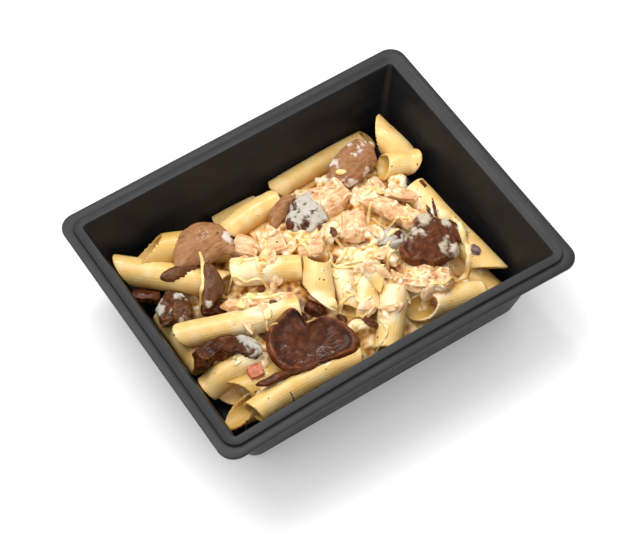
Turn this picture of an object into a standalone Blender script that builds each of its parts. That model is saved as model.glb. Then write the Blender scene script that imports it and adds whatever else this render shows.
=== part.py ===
"""A ready meal of penne, mushrooms and chicken in a cream sauce, in its black moulded tray.

Metres, +Z up. The origin is the middle of the tray's underside, with the long side of the rim
along X. Sizes and places below are in millimetres and angles in degrees.
"""

import math

import bmesh
import bpy
from mathutils import Matrix, Vector, noise

MM = 0.001
GAP = 0.3
NOISE_SEED = 5

# Tray
RIM_LENGTH = 187.0
RIM_WIDTH = 149.6
OPENING_LENGTH = 168.0
OPENING_WIDTH = 129.0
TRAY_HEIGHT = 46.0
SHEET = 0.8
END_SLOPE = 0.25
SIDE_SLOPE = 0.175
BASE_CORNER = 9.0
BASE_EDGE = 3.5
OPENING_CORNER = 3.0
RIM_CORNER = 8.0
BAND_WIDTH = 5.0
STEP_DOWN = 1.2
STEP_RUN = 0.8
LIP_DEPTH = 3.0
FOOT_WIDTH = 9.0
FOOT_RISE = 0.7
FOOT_RAMP = 2.0
FRONT_BOW = 1.4
OPENING_EDGE = 0.8
LIP_EDGE = 0.8
LIP_TAPER = 0.3
CORNER_SEGMENTS = 3
SIDE_SEGMENTS = 4

# Sauce and pasta core
CORE_LENGTH = 134.0
CORE_WIDTH = 102.0
CORE_BASE = SHEET + FOOT_RISE + GAP
# Height over which the food keeps off the round edge of the tray's floor, and how far it keeps off
FLOOR_ROUND = 12.0
FLOOR_INSET = 2.1
CORE_COLUMNS = 18
CORE_ROWS = 13

# Penne
PENNE_SIDES = 8
PENNE_WALL = 1.3
BORE_DEPTH = 9.0
QUILL = 42.0

# Mounds of sauce on the core, as (x, y, rise, radius)
MOUNDS = (
    (24, 12, 9.0, 30),
    (40, -18, 4.0, 20),
    (2, 24, 4.0, 18),
    (-34, -28, 4.0, 22),
    (-18, 8, 4.5, 24),
    (48, 26, 3.0, 18),
    (-58, -30, -5.0, 16),
    (-66, 12, -3.0, 14),
)
SAUCE_LEVEL = 13.0
SAUCE_EDGE = 7.0
SAUCE_BUMPS = 1.6
SAUCE_BUMP_LENGTH = 14.0
CORE_ROUNDING = 0.28
EDGE_WOBBLE = 0.09
EDGE_WOBBLE_LENGTH = 22.0
# Share of the way out from the middle where the sauce starts to fall to its edge
EDGE_FALL = 0.8

# Each penne: its axis from start to end, its radius, and the way each cut end faces, as
# (turn, slant). Turn 0 faces up and 90 faces left of the way from start to end. None is an end
# that nothing shows of, cut square and solid.
PENNE = {
    "back_long": ((12, 53, 14), (63, 53, 15), 5.0, (180, QUILL), (0, 30)),
    "back_floor": ((8, 48, 7), (60, 49, 7), 5.0, None, None),
    "back_left": ((-62, 50, 24), (-27, 36, 18), 6.3, (50, 52), None),
    "left_tip": ((-71, 45, 19), (-36, 16, 17), 6.4, (-130, QUILL), (-30, QUILL)),
    "centre": ((-33, 19, 22), (-5, 3, 23), 5.8, None, None),
    "mid_left": ((-67, 5, 16), (-18, -13, 20), 5.7, (180, QUILL), None),
    "left_low": ((-68, 26, 9), (-68, -8, 8), 5.8, None, None),
    "front_short": ((-68, -18, 13), (-44, -21, 14), 6.2, (180, 30), None),
    "front_under": ((-64, -28, 11), (-33, -36, 12), 5.8, (0, QUILL), None),
    "corner_open": ((-66, -36, 8), (-32, -38, 8), 6.1, (10, 50), None),
    "front_long": ((-64, -43, 17), (-12, -47, 19), 5.5, (-90, 15), (180, 30)),
    "right_front": ((30, -43, 14), (60, -48, 12), 6.0, (-60, QUILL), None),
    "right_long": ((62, 12, 22), (71, -42, 18), 5.6, None, (180, 20)),
    "right_under": ((61, -24, 10), (65, -51, 8), 6.2, None, (0, 20)),
    "corner_up": ((68, 28, 9), (66.5, 43, 33), 6.4, None, (-125, 52)),
    "top_curl": ((67, 27, 22), (46, 33, 18), 6.3, (20, 38), None),
    "back_mid": ((-19, 45, 19), (3, 43, 19), 5.8, (20, 30), (150, QUILL)),
    "back_low": ((-18, 52, 11), (6, 51, 11), 5.6, (30, 35), None),
    "back_gap": ((-14, 36, 12), (4, 39, 12), 5.2, None, None),
    "centre_open": ((-1, 4, 25), (-7, -14, 21), 5.8, None, (-10, 58)),
    "front_pair": ((10, -12, 18), (8, -34, 17), 5.6, None, (60, 30)),
    "front_slim": ((1, -14, 18), (0, -28, 18), 4.4, None, None),
    "front_mid": ((18, -33, 19), (7, -50, 14), 5.6, None, None),
    "right_back": ((44, 14, 14), (60, -10, 13), 5.6, None, None),
}

# Cheese shreds that lie on the heap, as the points they pass through
SHREDS = (
    ((-42, 2, 21), (-36, 3, 24), (-28, 1, 25), (-22, -3, 24), (-24, -8, 23)),
    ((-38, 10, 22), (-33, 4, 25), (-27, 4, 26), (-20, 1, 25)),
    ((8, 2, 26), (14, 6, 29), (20, 3, 30), (26, 6, 29)),
    ((8, -4, 26), (14, -1, 29), (21, -4, 29), (27, -1, 28)),
    ((50, -32, 20), (44, -33, 24), (38, -28, 25), (33, -24, 24)),
    ((2, -40, 18), (5, -44, 20), (4, -50, 19), (0, -54, 16)),
    ((40, -12, 24), (46, -6, 27), (52, -4, 27), (57, -9, 25)),
    ((16, 16, 28), (20, 20, 29), (18, 25, 28)),
    ((-30, 22, 24), (-26, 16, 26), (-20, 16, 26), (-16, 12, 26)),
    ((34, 0, 27), (38, -4, 28), (36, -10, 26)),
)
SHRED_RADIUS = 1.2
SHRED_SIDES = 4

# Scraps of chicken and cheese under the sauce, as their middles and sizes along, across and up
SAUCED_BITS = (
    ((15, -3, 24), (12, 8, 7)),
    ((23, -8, 24), (9, 13, 7)),
    ((31, -13, 22), (13, 8, 7)),
    ((21, -19, 20), (8, 11, 7)),
    ((31, -1, 25), (11, 9, 6)),
    ((15, 11, 26), (9, 12, 7)),
    ((27, -25, 19), (11, 8, 7)),
    ((49, 1, 22), (9, 7, 6)),
    ((56, -3, 21), (7, 12, 6)),
    ((44, 22, 22), (13, 9, 7)),
    ((36, 19, 24), (8, 10, 7)),
    ((17, 38, 17), (14, 8, 8)),
    ((31, 42, 16), (10, 9, 8)),
    ((-5, 15, 23), (9, 7, 6)),
    ((-30, -13, 19), (14, 7, 6)),
    ((58, 20, 21), (9, 13, 6)),
    ((-46, -24, 16), (9, 12, 6)),
    ((0, -34, 17), (7, 12, 7)),
)
BIT_BUMPS = 0.22

# Length of the toppings' bumps
GRAIN = 8.0

# Each topping, from the top of the pile down: its size, its middle, its turn (heading, tilt,
# roll), softness, cuts, outline, bend, curl, roughness and finish.
TOPPINGS = {
    "mushroom_front_cap": ((42, 30, 6.5), (-24, -33, 24.0), (-31, -3, 8), 0.55, 4, "notched", -20, 0, 0.9, "dark"),
    "mushroom_left_cap": ((29, 21, 6.0), (-39, 35, 27.5), (-22, 0, 12), 0.62, 3, "domed", -40, 0, 0.8, "brown"),
    "mushroom_left_half": ((19, 11.5, 5.0), (-45, 16, 25.0), (-116, 6, 0), 0.5, 3, "half_moon", -40, 0, 0.6, "dark"),
    "mushroom_left_edge": ((21, 4.0, 6.0), (-56, 30.5, 25.0), (-13, 0, 10), 0.6, 2, None, 0, 35, 0.6, "dark"),
    "mushroom_left_fold": ((13, 6.0, 5.0), (-68, 30, 16.5), (-50, 0, 0), 0.6, 2, None, -30, 0, 0.8, "brown"),
    "mushroom_left_curl": ((18, 14, 9.0), (-62, 18, 17.0), (-20, 0, 0), 0.6, 3, "domed", -30, 0, 2.0, "dark"),
    "mushroom_left_dark": ((13, 8, 6.0), (-49, 9.5, 17.0), (-35, 0, 0), 0.6, 2, None, 0, 0, 1.0, "dark"),
    "mushroom_crescent": ((34, 9.5, 8.0), (-57, -12.5, 20.5), (-22, 0, 0), 0.6, 3, None, 0, -80, 1.2, "dark"),
    "mushroom_front_strip": ((27, 4.0, 4.0), (-45, -39, 18.5), (-11, 0, 0), 0.55, 2, None, -20, 20, 0.5, "brown"),
    "mushroom_right_cap": ((24, 21, 10.0), (48, -18, 25.0), (-31, 0, 6), 0.65, 3, "domed", -45, 0, 1.4, "brown"),
    "mushroom_right_chip": ((10, 6.5, 4.0), (63, -21, 24.5), (-66, 0, 10), 0.6, 2, None, 0, 20, 0.5, "brown"),
    "mushroom_back_cap": ((22, 19, 7.0), (45, 38, 24.0), (-12, 0, 8), 0.65, 3, "domed", -50, 0, 0.8, "brown"),
    "mushroom_back_red": ((16, 10, 6.0), (3, 36, 20.0), (38, 0, 0), 0.6, 2, None, -20, 0, 1.0, "brown"),
    "mushroom_middle": ((21, 15, 8.0), (11, 25.5, 22.5), (52, 0, 0), 0.6, 2, "domed", -20, 0, 1.4, "dark"),
    "mushroom_sauced": ((14, 10, 6.0), (36, -5, 22.0), (-20, 0, 0), 0.6, 2, None, -20, 0, 1.0, "dark"),
    "mushroom_bit": ((10, 6.5, 5.0), (-12, -16, 19.0), (-60, 0, 0), 0.6, 2, None, 0, 0, 0.8, "dark"),
    "chicken_long": ((36, 9.5, 6.5), (44, 7, 26.0), (-63, 0, 0), 0.45, 3, None, -25, 0, 1.0, "chicken"),
    "chicken_roll": ((19, 14, 9.0), (26, 9, 27.0), (-121, 0, 0), 0.55, 3, None, -40, 0, 1.4, "chicken"),
    "chicken_back": ((17, 14, 8.0), (26, 28, 24.0), (10, 0, 0), 0.5, 2, None, -20, 0, 1.2, "chicken"),
    "chicken_cube": ((11, 12, 10.0), (-11, 22, 23.0), (-14, 0, 8), 0.3, 2, None, 0, 0, 0.8, "chicken"),
    "chicken_left": ((13, 10, 8.0), (-21, 28, 21.0), (-50, 0, 0), 0.5, 2, None, 0, 0, 1.0, "chicken"),
    "chicken_pale": ((18, 6, 4.5), (54, 10, 25.5), (-43, 0, 0), 0.5, 2, None, 0, 10, 0.5, "chicken"),
    "chicken_right": ((23, 14, 8.0), (39, -32, 21.0), (-45, 0, 0), 0.5, 3, None, -20, 0, 1.4, "chicken"),
    "chicken_front": ((38, 5.5, 5.5), (-31, -1, 22.0), (-25, 2, 0), 0.5, 3, None, -15, 0, 0.7, "chicken"),
    "chicken_middle": ((11, 9, 7.0), (2, 8, 27.0), (-30, 0, 0), 0.5, 2, None, 0, 0, 1.0, "chicken"),
    "ham_cube": ((7.5, 7, 6.5), (-52, -29, 17.0), (-10, 0, 0), 0.45, 1, None, 0, 0, 0.4, "ham"),
}

# Colours of the materials, sRGB
CPET_BLACK = (0.10, 0.10, 0.11)
PASTA = (0.93, 0.78, 0.45)
MUSHROOM_BROWN = (0.52, 0.34, 0.27)
MUSHROOM_DARK = (0.22, 0.14, 0.12)
CHICKEN = (0.93, 0.76, 0.60)
HAM = (0.80, 0.50, 0.40)


def clear_scene():
    for obj in list(bpy.data.objects):
        bpy.data.objects.remove(obj, do_unlink=True)


def new_collection(name):
    collection = bpy.data.collections.new(name)
    bpy.context.scene.collection.children.link(collection)
    return collection


def finish(name, colour, roughness):
    """A Principled BSDF material of one colour."""
    material = bpy.data.materials.new(name)
    material.use_nodes = True
    shader = material.node_tree.nodes["Principled BSDF"]
    shader.inputs["Base Color"].default_value = (*(c**2.2 for c in colour), 1.0)
    shader.inputs["Roughness"].default_value = roughness
    shader.inputs["Metallic"].default_value = 0.0
    return material


def mesh_object(name, bm, collection, material=None):
    """An object of a bmesh drawn in millimetres."""
    bmesh.ops.scale(bm, vec=(MM, MM, MM), verts=bm.verts)
    bmesh.ops.recalc_face_normals(bm, faces=bm.faces)
    mesh = bpy.data.meshes.new(name)
    bm.to_mesh(mesh)
    bm.free()
    obj = bpy.data.objects.new(name, mesh)
    if material:
        mesh.materials.append(material)
    collection.objects.link(obj)
    return obj


def shade_round(obj, angle=40):
    obj.data.shade_smooth()
    obj.data.set_sharp_from_angle(angle=math.radians(angle))


# Tray: one sheet of plastic, thermoformed


def rounded_ring(length, width, corner, height, bow=0.0):
    """The points of a rounded rectangle, anticlockwise from its right side.

    Each long side has points between its corners, which follow a bow of this depth inwards on
    the front side.
    """
    points = []
    inner_x = length / 2 - corner
    inner_y = width / 2 - corner
    for quarter, (sx, sy) in enumerate(((1, 1), (-1, 1), (-1, -1), (1, -1))):
        for step in range(CORNER_SEGMENTS + 1):
            angle = math.radians(90 * (quarter + step / CORNER_SEGMENTS))
            x = sx * inner_x + corner * math.cos(angle)
            y = sy * inner_y + corner * math.sin(angle)
            points.append(Vector((x, y, height)))
        if sx == sy:
            for step in range(1, SIDE_SEGMENTS):
                share = step / SIDE_SEGMENTS
                x = sx * inner_x * (1 - 2 * share)
                y = sy * width / 2
                if sy < 0:
                    y += bow * 4 * share * (1 - share)
                points.append(Vector((x, y, height)))
    return points


def tray_rings():
    """The upper face of the sheet, from the middle of the floor out to the edge of the lip."""
    floor_length = OPENING_LENGTH - 2 * END_SLOPE * (TRAY_HEIGHT - SHEET)
    floor_width = OPENING_WIDTH - 2 * SIDE_SLOPE * (TRAY_HEIGHT - SHEET)
    rings = []
    for inset, rise in ((FOOT_WIDTH + FOOT_RAMP, FOOT_RISE), (FOOT_WIDTH, 0)):
        length = floor_length - 2 * inset
        width = floor_width - 2 * inset
        rings.append(rounded_ring(length, width, BASE_CORNER - BASE_EDGE, SHEET + rise))
    for angle in (0, 45, 80):
        out = BASE_EDGE * math.sin(math.radians(angle))
        up = BASE_EDGE * (1 - math.cos(math.radians(angle)))
        length = floor_length - 2 * (BASE_EDGE - out)
        width = floor_width - 2 * (BASE_EDGE - out)
        rings.append(rounded_ring(length, width, BASE_CORNER - BASE_EDGE + out, SHEET + up))
    length = OPENING_LENGTH - 2 * END_SLOPE * OPENING_EDGE
    width = OPENING_WIDTH - 2 * SIDE_SLOPE * OPENING_EDGE
    rings.append(rounded_ring(length, width, OPENING_CORNER, TRAY_HEIGHT - OPENING_EDGE, FRONT_BOW))
    band = 2 * BAND_WIDTH
    step = 2 * (BAND_WIDTH + STEP_RUN)
    edge = 2 * LIP_EDGE
    lip = TRAY_HEIGHT - STEP_DOWN
    for length, width, corner, height in (
        (OPENING_LENGTH + OPENING_EDGE, OPENING_WIDTH + OPENING_EDGE, OPENING_CORNER, TRAY_HEIGHT),
        (OPENING_LENGTH + band, OPENING_WIDTH + band, RIM_CORNER - 3, TRAY_HEIGHT),
        (OPENING_LENGTH + step, OPENING_WIDTH + step, RIM_CORNER - 2.5, lip),
        (RIM_LENGTH - edge, RIM_WIDTH - edge, RIM_CORNER - LIP_EDGE, lip),
        (RIM_LENGTH - LIP_TAPER, RIM_WIDTH - LIP_TAPER, RIM_CORNER, lip - LIP_EDGE),
        (RIM_LENGTH, RIM_WIDTH, RIM_CORNER, lip - LIP_DEPTH),
    ):
        rings.append(rounded_ring(length, width, corner, height, FRONT_BOW))
    return rings


def make_tray(collection, material):
    bm = bmesh.new()
    loops = [[bm.verts.new(point) for point in ring] for ring in tray_rings()]
    bm.faces.new(loops[0])
    count = len(loops[0])
    for inner, outer in zip(loops, loops[1:]):
        for i in range(count):
            j = (i + 1) % count
            bm.faces.new((inner[i], outer[i], outer[j], inner[j]))
    tray = mesh_object("tray", bm, collection, material)
    up = sum(face.normal.z * face.area for face in tray.data.polygons) > 0
    sheet = tray.modifiers.new("sheet", "SOLIDIFY")
    sheet.thickness = SHEET * MM
    sheet.offset = -1.0 if up else 1.0
    sheet.use_even_offset = True
    shade_round(tray, 35)
    return tray


def make_room(collection):
    """The space inside the tray, a little smaller than the tray's own faces: the food stays in it."""
    bm = bmesh.new()
    for height, inset in ((CORE_BASE, FLOOR_INSET), (FLOOR_ROUND, 0.0), (TRAY_HEIGHT, 0.0)):
        length = OPENING_LENGTH - 2 * END_SLOPE * (TRAY_HEIGHT - height) - 2 * (GAP + inset)
        width = OPENING_WIDTH - 2 * SIDE_SLOPE * (TRAY_HEIGHT - height) - 2 * (GAP + inset)
        for point in rounded_ring(length, width - 2 * FRONT_BOW, BASE_CORNER, height):
            bm.verts.new(point)
    bmesh.ops.convex_hull(bm, input=bm.verts)
    return mesh_object("room", bm, collection)


# Heap: sauce and pasta


def core_top(x, y):
    """Height of the sauce over the tray's underside."""
    height = SAUCE_LEVEL
    for mound_x, mound_y, rise, radius in MOUNDS:
        distance = math.hypot(x - mound_x, y - mound_y) / radius
        height += rise * math.exp(-distance * distance)
    height += SAUCE_BUMPS * noise.noise(Vector((x, y, 0)) / SAUCE_BUMP_LENGTH)
    reach = max(abs(x) / (CORE_LENGTH / 2), abs(y) / (CORE_WIDTH / 2))
    fall = max(0.0, reach - EDGE_FALL) / (1 - EDGE_FALL)
    return height + (SAUCE_EDGE - SAUCE_LEVEL) * fall * fall


def make_core(collection, material):
    """A lumpy slab with an uneven edge, clear of the walls, which the pasta lies in."""
    bm = bmesh.new()
    bmesh.ops.create_grid(bm, x_segments=CORE_COLUMNS, y_segments=CORE_ROWS, size=1.0)
    for vert in bm.verts:
        u, v = vert.co.x, vert.co.y
        # The square grid becomes a rounded one.
        x = u * math.sqrt(1 - CORE_ROUNDING * v * v) * CORE_LENGTH / 2
        y = v * math.sqrt(1 - CORE_ROUNDING * u * u) * CORE_WIDTH / 2
        uneven = noise.noise(Vector((x, y, 0)) / EDGE_WOBBLE_LENGTH + Vector((0, 0, 1)))
        wobble = 1 + EDGE_WOBBLE * uneven * max(abs(u), abs(v))
        x, y = x * wobble, y * wobble
        vert.co = Vector((x, y, core_top(x, y)))
    rim = {vert for edge in bm.edges if edge.is_boundary for vert in edge.verts}
    rim = sorted(rim, key=lambda vert: math.atan2(vert.co.y, vert.co.x))
    foot = [bm.verts.new((vert.co.x, vert.co.y, CORE_BASE)) for vert in rim]
    for i in range(-1, len(rim) - 1):
        bm.faces.new((foot[i], foot[i + 1], rim[i + 1], rim[i]))
    bm.faces.new(reversed(foot))
    core = mesh_object("pasta_heap", bm, collection, material)
    shade_round(core, 50)
    return core


def add_penne(bm, start, end, radius, start_cut, end_cut):
    """One piece of penne: a round bar cut slantwise, with a blind bore where its end shows."""
    start, end = Vector(start), Vector(end)
    axis = (end - start).normalized()
    spare = 3 * radius
    middle = (start + end) / 2
    turn = axis.to_track_quat("Z", "Y").to_matrix().to_4x4()
    bmesh.ops.create_cone(
        bm,
        cap_ends=True,
        segments=PENNE_SIDES,
        radius1=radius,
        radius2=radius,
        depth=(end - start).length + 2 * spare,
        matrix=Matrix.Translation(middle) @ turn,
    )
    up = (Vector((0, 0, 1)) - axis * axis.z).normalized()
    left = up.cross(axis)
    for point, outward, cut in ((start, -axis, start_cut), (end, axis, end_cut)):
        angle, slant = (math.radians(value) for value in cut or (0, 0))
        facing = up * math.cos(angle) + left * math.sin(angle)
        normal = outward * math.cos(slant) + facing * math.sin(slant)
        geometry = [*bm.verts, *bm.edges, *bm.faces]
        cut_made = bmesh.ops.bisect_plane(bm, geom=geometry, plane_co=point, plane_no=normal, clear_outer=True)
        rim = [item for item in cut_made["geom_cut"] if isinstance(item, bmesh.types.BMEdge)]
        ring = {vert for edge in rim for vert in edge.verts}
        angles = {vert: math.atan2(left.dot(vert.co - point), up.dot(vert.co - point)) for vert in ring}
        cap = [bm.faces.new(sorted(ring, key=angles.get))]
        bm.normal_update()
        if cut:
            thickness = PENNE_WALL / max(math.cos(slant), 0.7)
            bmesh.ops.inset_region(bm, faces=cap, thickness=thickness, use_even_offset=True)
            pushed = bmesh.ops.extrude_face_region(bm, geom=cap)
            bmesh.ops.delete(bm, geom=cap, context="FACES_ONLY")
            inner = [item for item in pushed["geom"] if isinstance(item, bmesh.types.BMVert)]
            bmesh.ops.translate(bm, verts=inner, vec=-outward * BORE_DEPTH)


def add_bit(bm, place, size, turn):
    """A lump with soft edges."""
    bmesh.ops.create_icosphere(bm, subdivisions=2, radius=0.5)
    spin = Matrix.Rotation(turn, 4, "Z") @ Matrix.Diagonal((*size, 1.0))
    for vert in bm.verts:
        vert.co *= 1 + BIT_BUMPS * noise.noise(vert.co * 3 + Vector(place))
    bmesh.ops.transform(bm, matrix=Matrix.Translation(Vector(place)) @ spin, verts=bm.verts)


def add_shred(bm, points):
    """A thin strand through these points."""
    points = [Vector(point) for point in points]
    loops = []
    for i, point in enumerate(points):
        along = (points[min(i + 1, len(points) - 1)] - points[max(i - 1, 0)]).normalized()
        turn = along.to_track_quat("Z", "Y").to_matrix().to_4x4()
        made = bmesh.ops.create_circle(
            bm,
            cap_ends=i in (0, len(points) - 1),
            segments=SHRED_SIDES,
            radius=SHRED_RADIUS,
            matrix=Matrix.Translation(point) @ turn,
        )
        loops.append(made["verts"])
    for first, second in zip(loops, loops[1:]):
        for i in range(SHRED_SIDES):
            j = (i + 1) % SHRED_SIDES
            bm.faces.new((first[i], first[j], second[j], second[i]))


# Toppings


def rounded_block(size, soft, cuts, outline, bend, curl, rough, seed):
    """A soft-edged block of this size, in its own frame.

    Soft is 0 for a cube and 1 for a ball. Outline scales the block by its angle seen from
    above. Bend curves it upwards along X and curl sideways, each by an angle in degrees.
    """
    bm = bmesh.new()
    bmesh.ops.create_cube(bm, size=2.0)
    bmesh.ops.subdivide_edges(bm, edges=bm.edges, cuts=cuts, use_grid_fill=True)
    half = Vector(size) / 2
    for vert in bm.verts:
        ball = vert.co.normalized()
        co = vert.co.lerp(ball, soft)
        if outline:
            co.xy *= OUTLINES[outline](math.degrees(math.atan2(co.y, co.x)))
        co = Vector((co.x * half.x, co.y * half.y, co.z * half.z))
        away = noise.noise_vector(co / GRAIN + Vector((seed, seed * 2, 0)))
        co += away * rough
        for angle, upward in ((bend, True), (curl, False)):
            if angle:
                radius = size[0] / math.radians(angle)
                share = co.x / radius
                side = co.z if upward else co.y
                x = (radius - side) * math.sin(share)
                side = radius - (radius - side) * math.cos(share)
                co = Vector((x, co.y, side)) if upward else Vector((x, side, co.z))
        vert.co = co
    return bm


def notched(angle):
    """Outline of the large cap slice: a broad half-moon with a notch in its upper side."""
    notch = math.exp(-(((angle - 105) / 11) ** 2))
    return 1 + 0.06 * math.cos(math.radians(3 * angle + 40)) - 0.30 * notch


def domed(angle):
    """Outline of a slice that keeps its cap's round side and a flatter cut side."""
    return 1 + 0.07 * math.cos(math.radians(2 * angle - 50)) + 0.04 * math.cos(math.radians(5 * angle))


def half_moon(angle):
    return 1 - 0.35 * max(0.0, math.cos(math.radians(angle - 180)))


OUTLINES = {"notched": notched, "domed": domed, "half_moon": half_moon}


def make_topping(name, seed, spec, collection, finishes, grow=0.0):
    size, place, turn, soft, cuts, outline, bend, curl, rough, look = spec
    bm = rounded_block(size, soft, cuts, outline, bend, curl, rough, seed)
    heading, tilt, roll = (math.radians(value) for value in turn)
    spin = Matrix.Rotation(heading, 4, "Z") @ Matrix.Rotation(tilt, 4, "Y") @ Matrix.Rotation(roll, 4, "X")
    bmesh.ops.transform(bm, matrix=Matrix.Translation(Vector(place)) @ spin, verts=bm.verts)
    if grow:
        bm.normal_update()
        for vert in bm.verts:
            vert.co += vert.normal * grow
    topping = mesh_object(name, bm, collection, finishes[look])
    shade_round(topping, 60)
    return topping


# Joining and fitting


def apply_modifiers(obj):
    graph = bpy.context.evaluated_depsgraph_get()
    mesh = bpy.data.meshes.new_from_object(obj.evaluated_get(graph))
    old = obj.data
    obj.modifiers.clear()
    obj.data = mesh
    bpy.data.meshes.remove(old)


def combine(obj, operation, other):
    """A Boolean with an object or a whole collection, applied."""
    join = obj.modifiers.new(operation.lower(), "BOOLEAN")
    join.operation = operation
    join.solver = "MANIFOLD"
    if isinstance(other, bpy.types.Collection):
        join.operand_type = "COLLECTION"
        join.collection = other
    else:
        join.object = other
    apply_modifiers(obj)


def joined_to(first):
    """Every vertex that edges join to this one."""
    found = set()
    waiting = [first]
    while waiting:
        vert = waiting.pop()
        if vert not in found:
            found.add(vert)
            waiting += [edge.other_vert(vert) for edge in vert.link_edges]
    return found


def keep_largest(obj):
    """Drops what a cut left loose."""
    bm = bmesh.new()
    bm.from_mesh(obj.data)
    bmesh.ops.dissolve_degenerate(bm, edges=bm.edges, dist=1e-6)
    bodies = []
    seen = set()
    for vert in bm.verts:
        if vert not in seen:
            bodies.append(joined_to(vert))
            seen |= bodies[-1]
    largest = max(bodies, key=len)
    loose = [vert for vert in bm.verts if vert not in largest]
    bmesh.ops.delete(bm, geom=loose, context="VERTS")
    bm.to_mesh(obj.data)
    bm.free()


def remove_all(collection):
    for obj in list(collection.objects):
        bpy.data.objects.remove(obj, do_unlink=True)


def near(first, second):
    """Whether the boxes of two objects' meshes meet."""
    for axis in range(3):
        spans = [[vert.co[axis] for vert in obj.data.vertices] for obj in (first, second)]
        if max(min(span) for span in spans) > min(max(span) for span in spans):
            return False
    return True


def main():
    clear_scene()
    noise.seed_set(NOISE_SEED)
    meal = new_collection("tray_meal")
    helpers = new_collection("helpers")
    tray_finish = finish("black_cpet", CPET_BLACK, 0.45)
    pasta_finish = finish("boiled_pasta", PASTA, 0.35)
    finishes = {
        "brown": finish("cooked_mushroom", MUSHROOM_BROWN, 0.4),
        "dark": finish("dark_mushroom", MUSHROOM_DARK, 0.3),
        "chicken": finish("cooked_chicken", CHICKEN, 0.45),
        "ham": finish("ham", HAM, 0.4),
    }
    make_tray(meal, tray_finish)

    heap = make_core(meal, pasta_finish)
    for name, (start, end, radius, start_cut, end_cut) in PENNE.items():
        bm = bmesh.new()
        add_penne(bm, start, end, radius, start_cut, end_cut)
        mesh_object("penne_" + name, bm, helpers)
    for number, points in enumerate(SHREDS):
        bm = bmesh.new()
        add_shred(bm, points)
        mesh_object(f"shred_{number}", bm, helpers)
    for number, (place, size) in enumerate(SAUCED_BITS):
        bm = bmesh.new()
        add_bit(bm, place, size, number)
        mesh_object(f"bit_{number}", bm, helpers)
    combine(heap, "UNION", helpers)
    remove_all(helpers)
    combine(heap, "INTERSECT", make_room(helpers))
    remove_all(helpers)

    placed = []
    for seed, (name, spec) in enumerate(TOPPINGS.items()):
        topping = make_topping(name, seed, spec, meal, finishes)
        for above in placed:
            if near(topping, above):
                combine(topping, "DIFFERENCE", above)
        keep_largest(topping)
        space = make_topping(name + "_space", seed, spec, helpers, finishes, grow=GAP + 0.1)
        placed.append(space)
    for space in placed:
        combine(heap, "DIFFERENCE", space)
    keep_largest(heap)
    remove_all(helpers)
    bpy.data.collections.remove(helpers)


main()
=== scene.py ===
"""A ready meal of penne, mushrooms and chicken in a cream sauce, in its black moulded tray.

Lengths below are in millimetres unless a name says otherwise; each mesh is made metres at its end.
"""

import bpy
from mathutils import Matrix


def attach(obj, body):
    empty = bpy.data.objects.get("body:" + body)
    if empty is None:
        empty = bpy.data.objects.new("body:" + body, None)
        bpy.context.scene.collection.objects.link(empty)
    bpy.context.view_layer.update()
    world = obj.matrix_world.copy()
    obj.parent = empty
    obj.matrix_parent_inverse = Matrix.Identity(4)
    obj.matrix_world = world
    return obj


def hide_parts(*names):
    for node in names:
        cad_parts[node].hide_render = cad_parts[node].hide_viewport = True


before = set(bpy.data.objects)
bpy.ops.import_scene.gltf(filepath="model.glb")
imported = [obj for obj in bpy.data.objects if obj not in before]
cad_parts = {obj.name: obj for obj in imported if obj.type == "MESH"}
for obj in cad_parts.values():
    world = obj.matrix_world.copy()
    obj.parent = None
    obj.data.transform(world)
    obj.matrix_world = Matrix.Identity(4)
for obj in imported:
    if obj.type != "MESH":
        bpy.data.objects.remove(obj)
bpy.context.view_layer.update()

import math
import random

import bmesh
import bpy
import numpy as np
from mathutils import Matrix, Vector, noise
from mathutils.bvhtree import BVHTree

# Camera
# It stands where the photographer did: high over the tray's front left corner, with a long lens,
# and tipped two degrees.

TRAY_HEIGHT = 46.0
AZIMUTH = math.radians(-31.4)
ELEVATION = math.radians(56.91)
ROLL = math.radians(-1.96)
DISTANCE = 980.5
TARGET = Vector((-7.34, -14.14, TRAY_HEIGHT))

camera_data = bpy.data.cameras.new("camera")
camera_data.sensor_width = 36.0
camera_data.lens = 123.27
camera = bpy.data.objects.new("camera", camera_data)
bpy.context.scene.collection.objects.link(camera)
turn = (
    Matrix.Rotation(AZIMUTH, 4, "Z")
    @ Matrix.Rotation(math.pi / 2 - ELEVATION, 4, "X")
    @ Matrix.Rotation(ROLL, 4, "Z")
)
stand = TARGET + turn.to_3x3() @ Vector((0, 0, DISTANCE))
camera.matrix_world = Matrix.Translation(stand / 1000) @ turn
bpy.context.scene.camera = camera
bpy.context.scene.view_settings.view_transform = "Standard"

# Studio
# A white table under a white room. A broad soft box at the back left throws the tray's soft shadow
# towards the front right, a small lamp at the back right gives the wet glints, and a weak one fills
# in from the front left. Their places and sizes are in metres.

FLOOR_WHITE = "#F4F4F4"
ROOM_LIGHT = 1.06
KEY_WATTS = 9.0
GLINT_WATTS = 3.0
FILL_WATTS = 2.0


def linear(code, alpha=1.0):
    """Linear RGBA of an sRGB hex colour."""
    values = [int(code[i : i + 2], 16) / 255 for i in (1, 3, 5)]
    return (*(v / 12.92 if v <= 0.04045 else ((v + 0.055) / 1.055) ** 2.4 for v in values), alpha)


def new_finish(name, base, roughness, **sockets):
    """A material with these values on its Principled shader. It returns the material, tree and shader."""
    material = bpy.data.materials.new(name)
    material.use_nodes = True
    shader = material.node_tree.nodes["Principled BSDF"]
    shader.inputs["Base Color"].default_value = linear(base)
    shader.inputs["Roughness"].default_value = roughness
    for socket, value in sockets.items():
        shader.inputs[socket.replace("_", " ")].default_value = value
    return material, material.node_tree, shader


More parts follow.
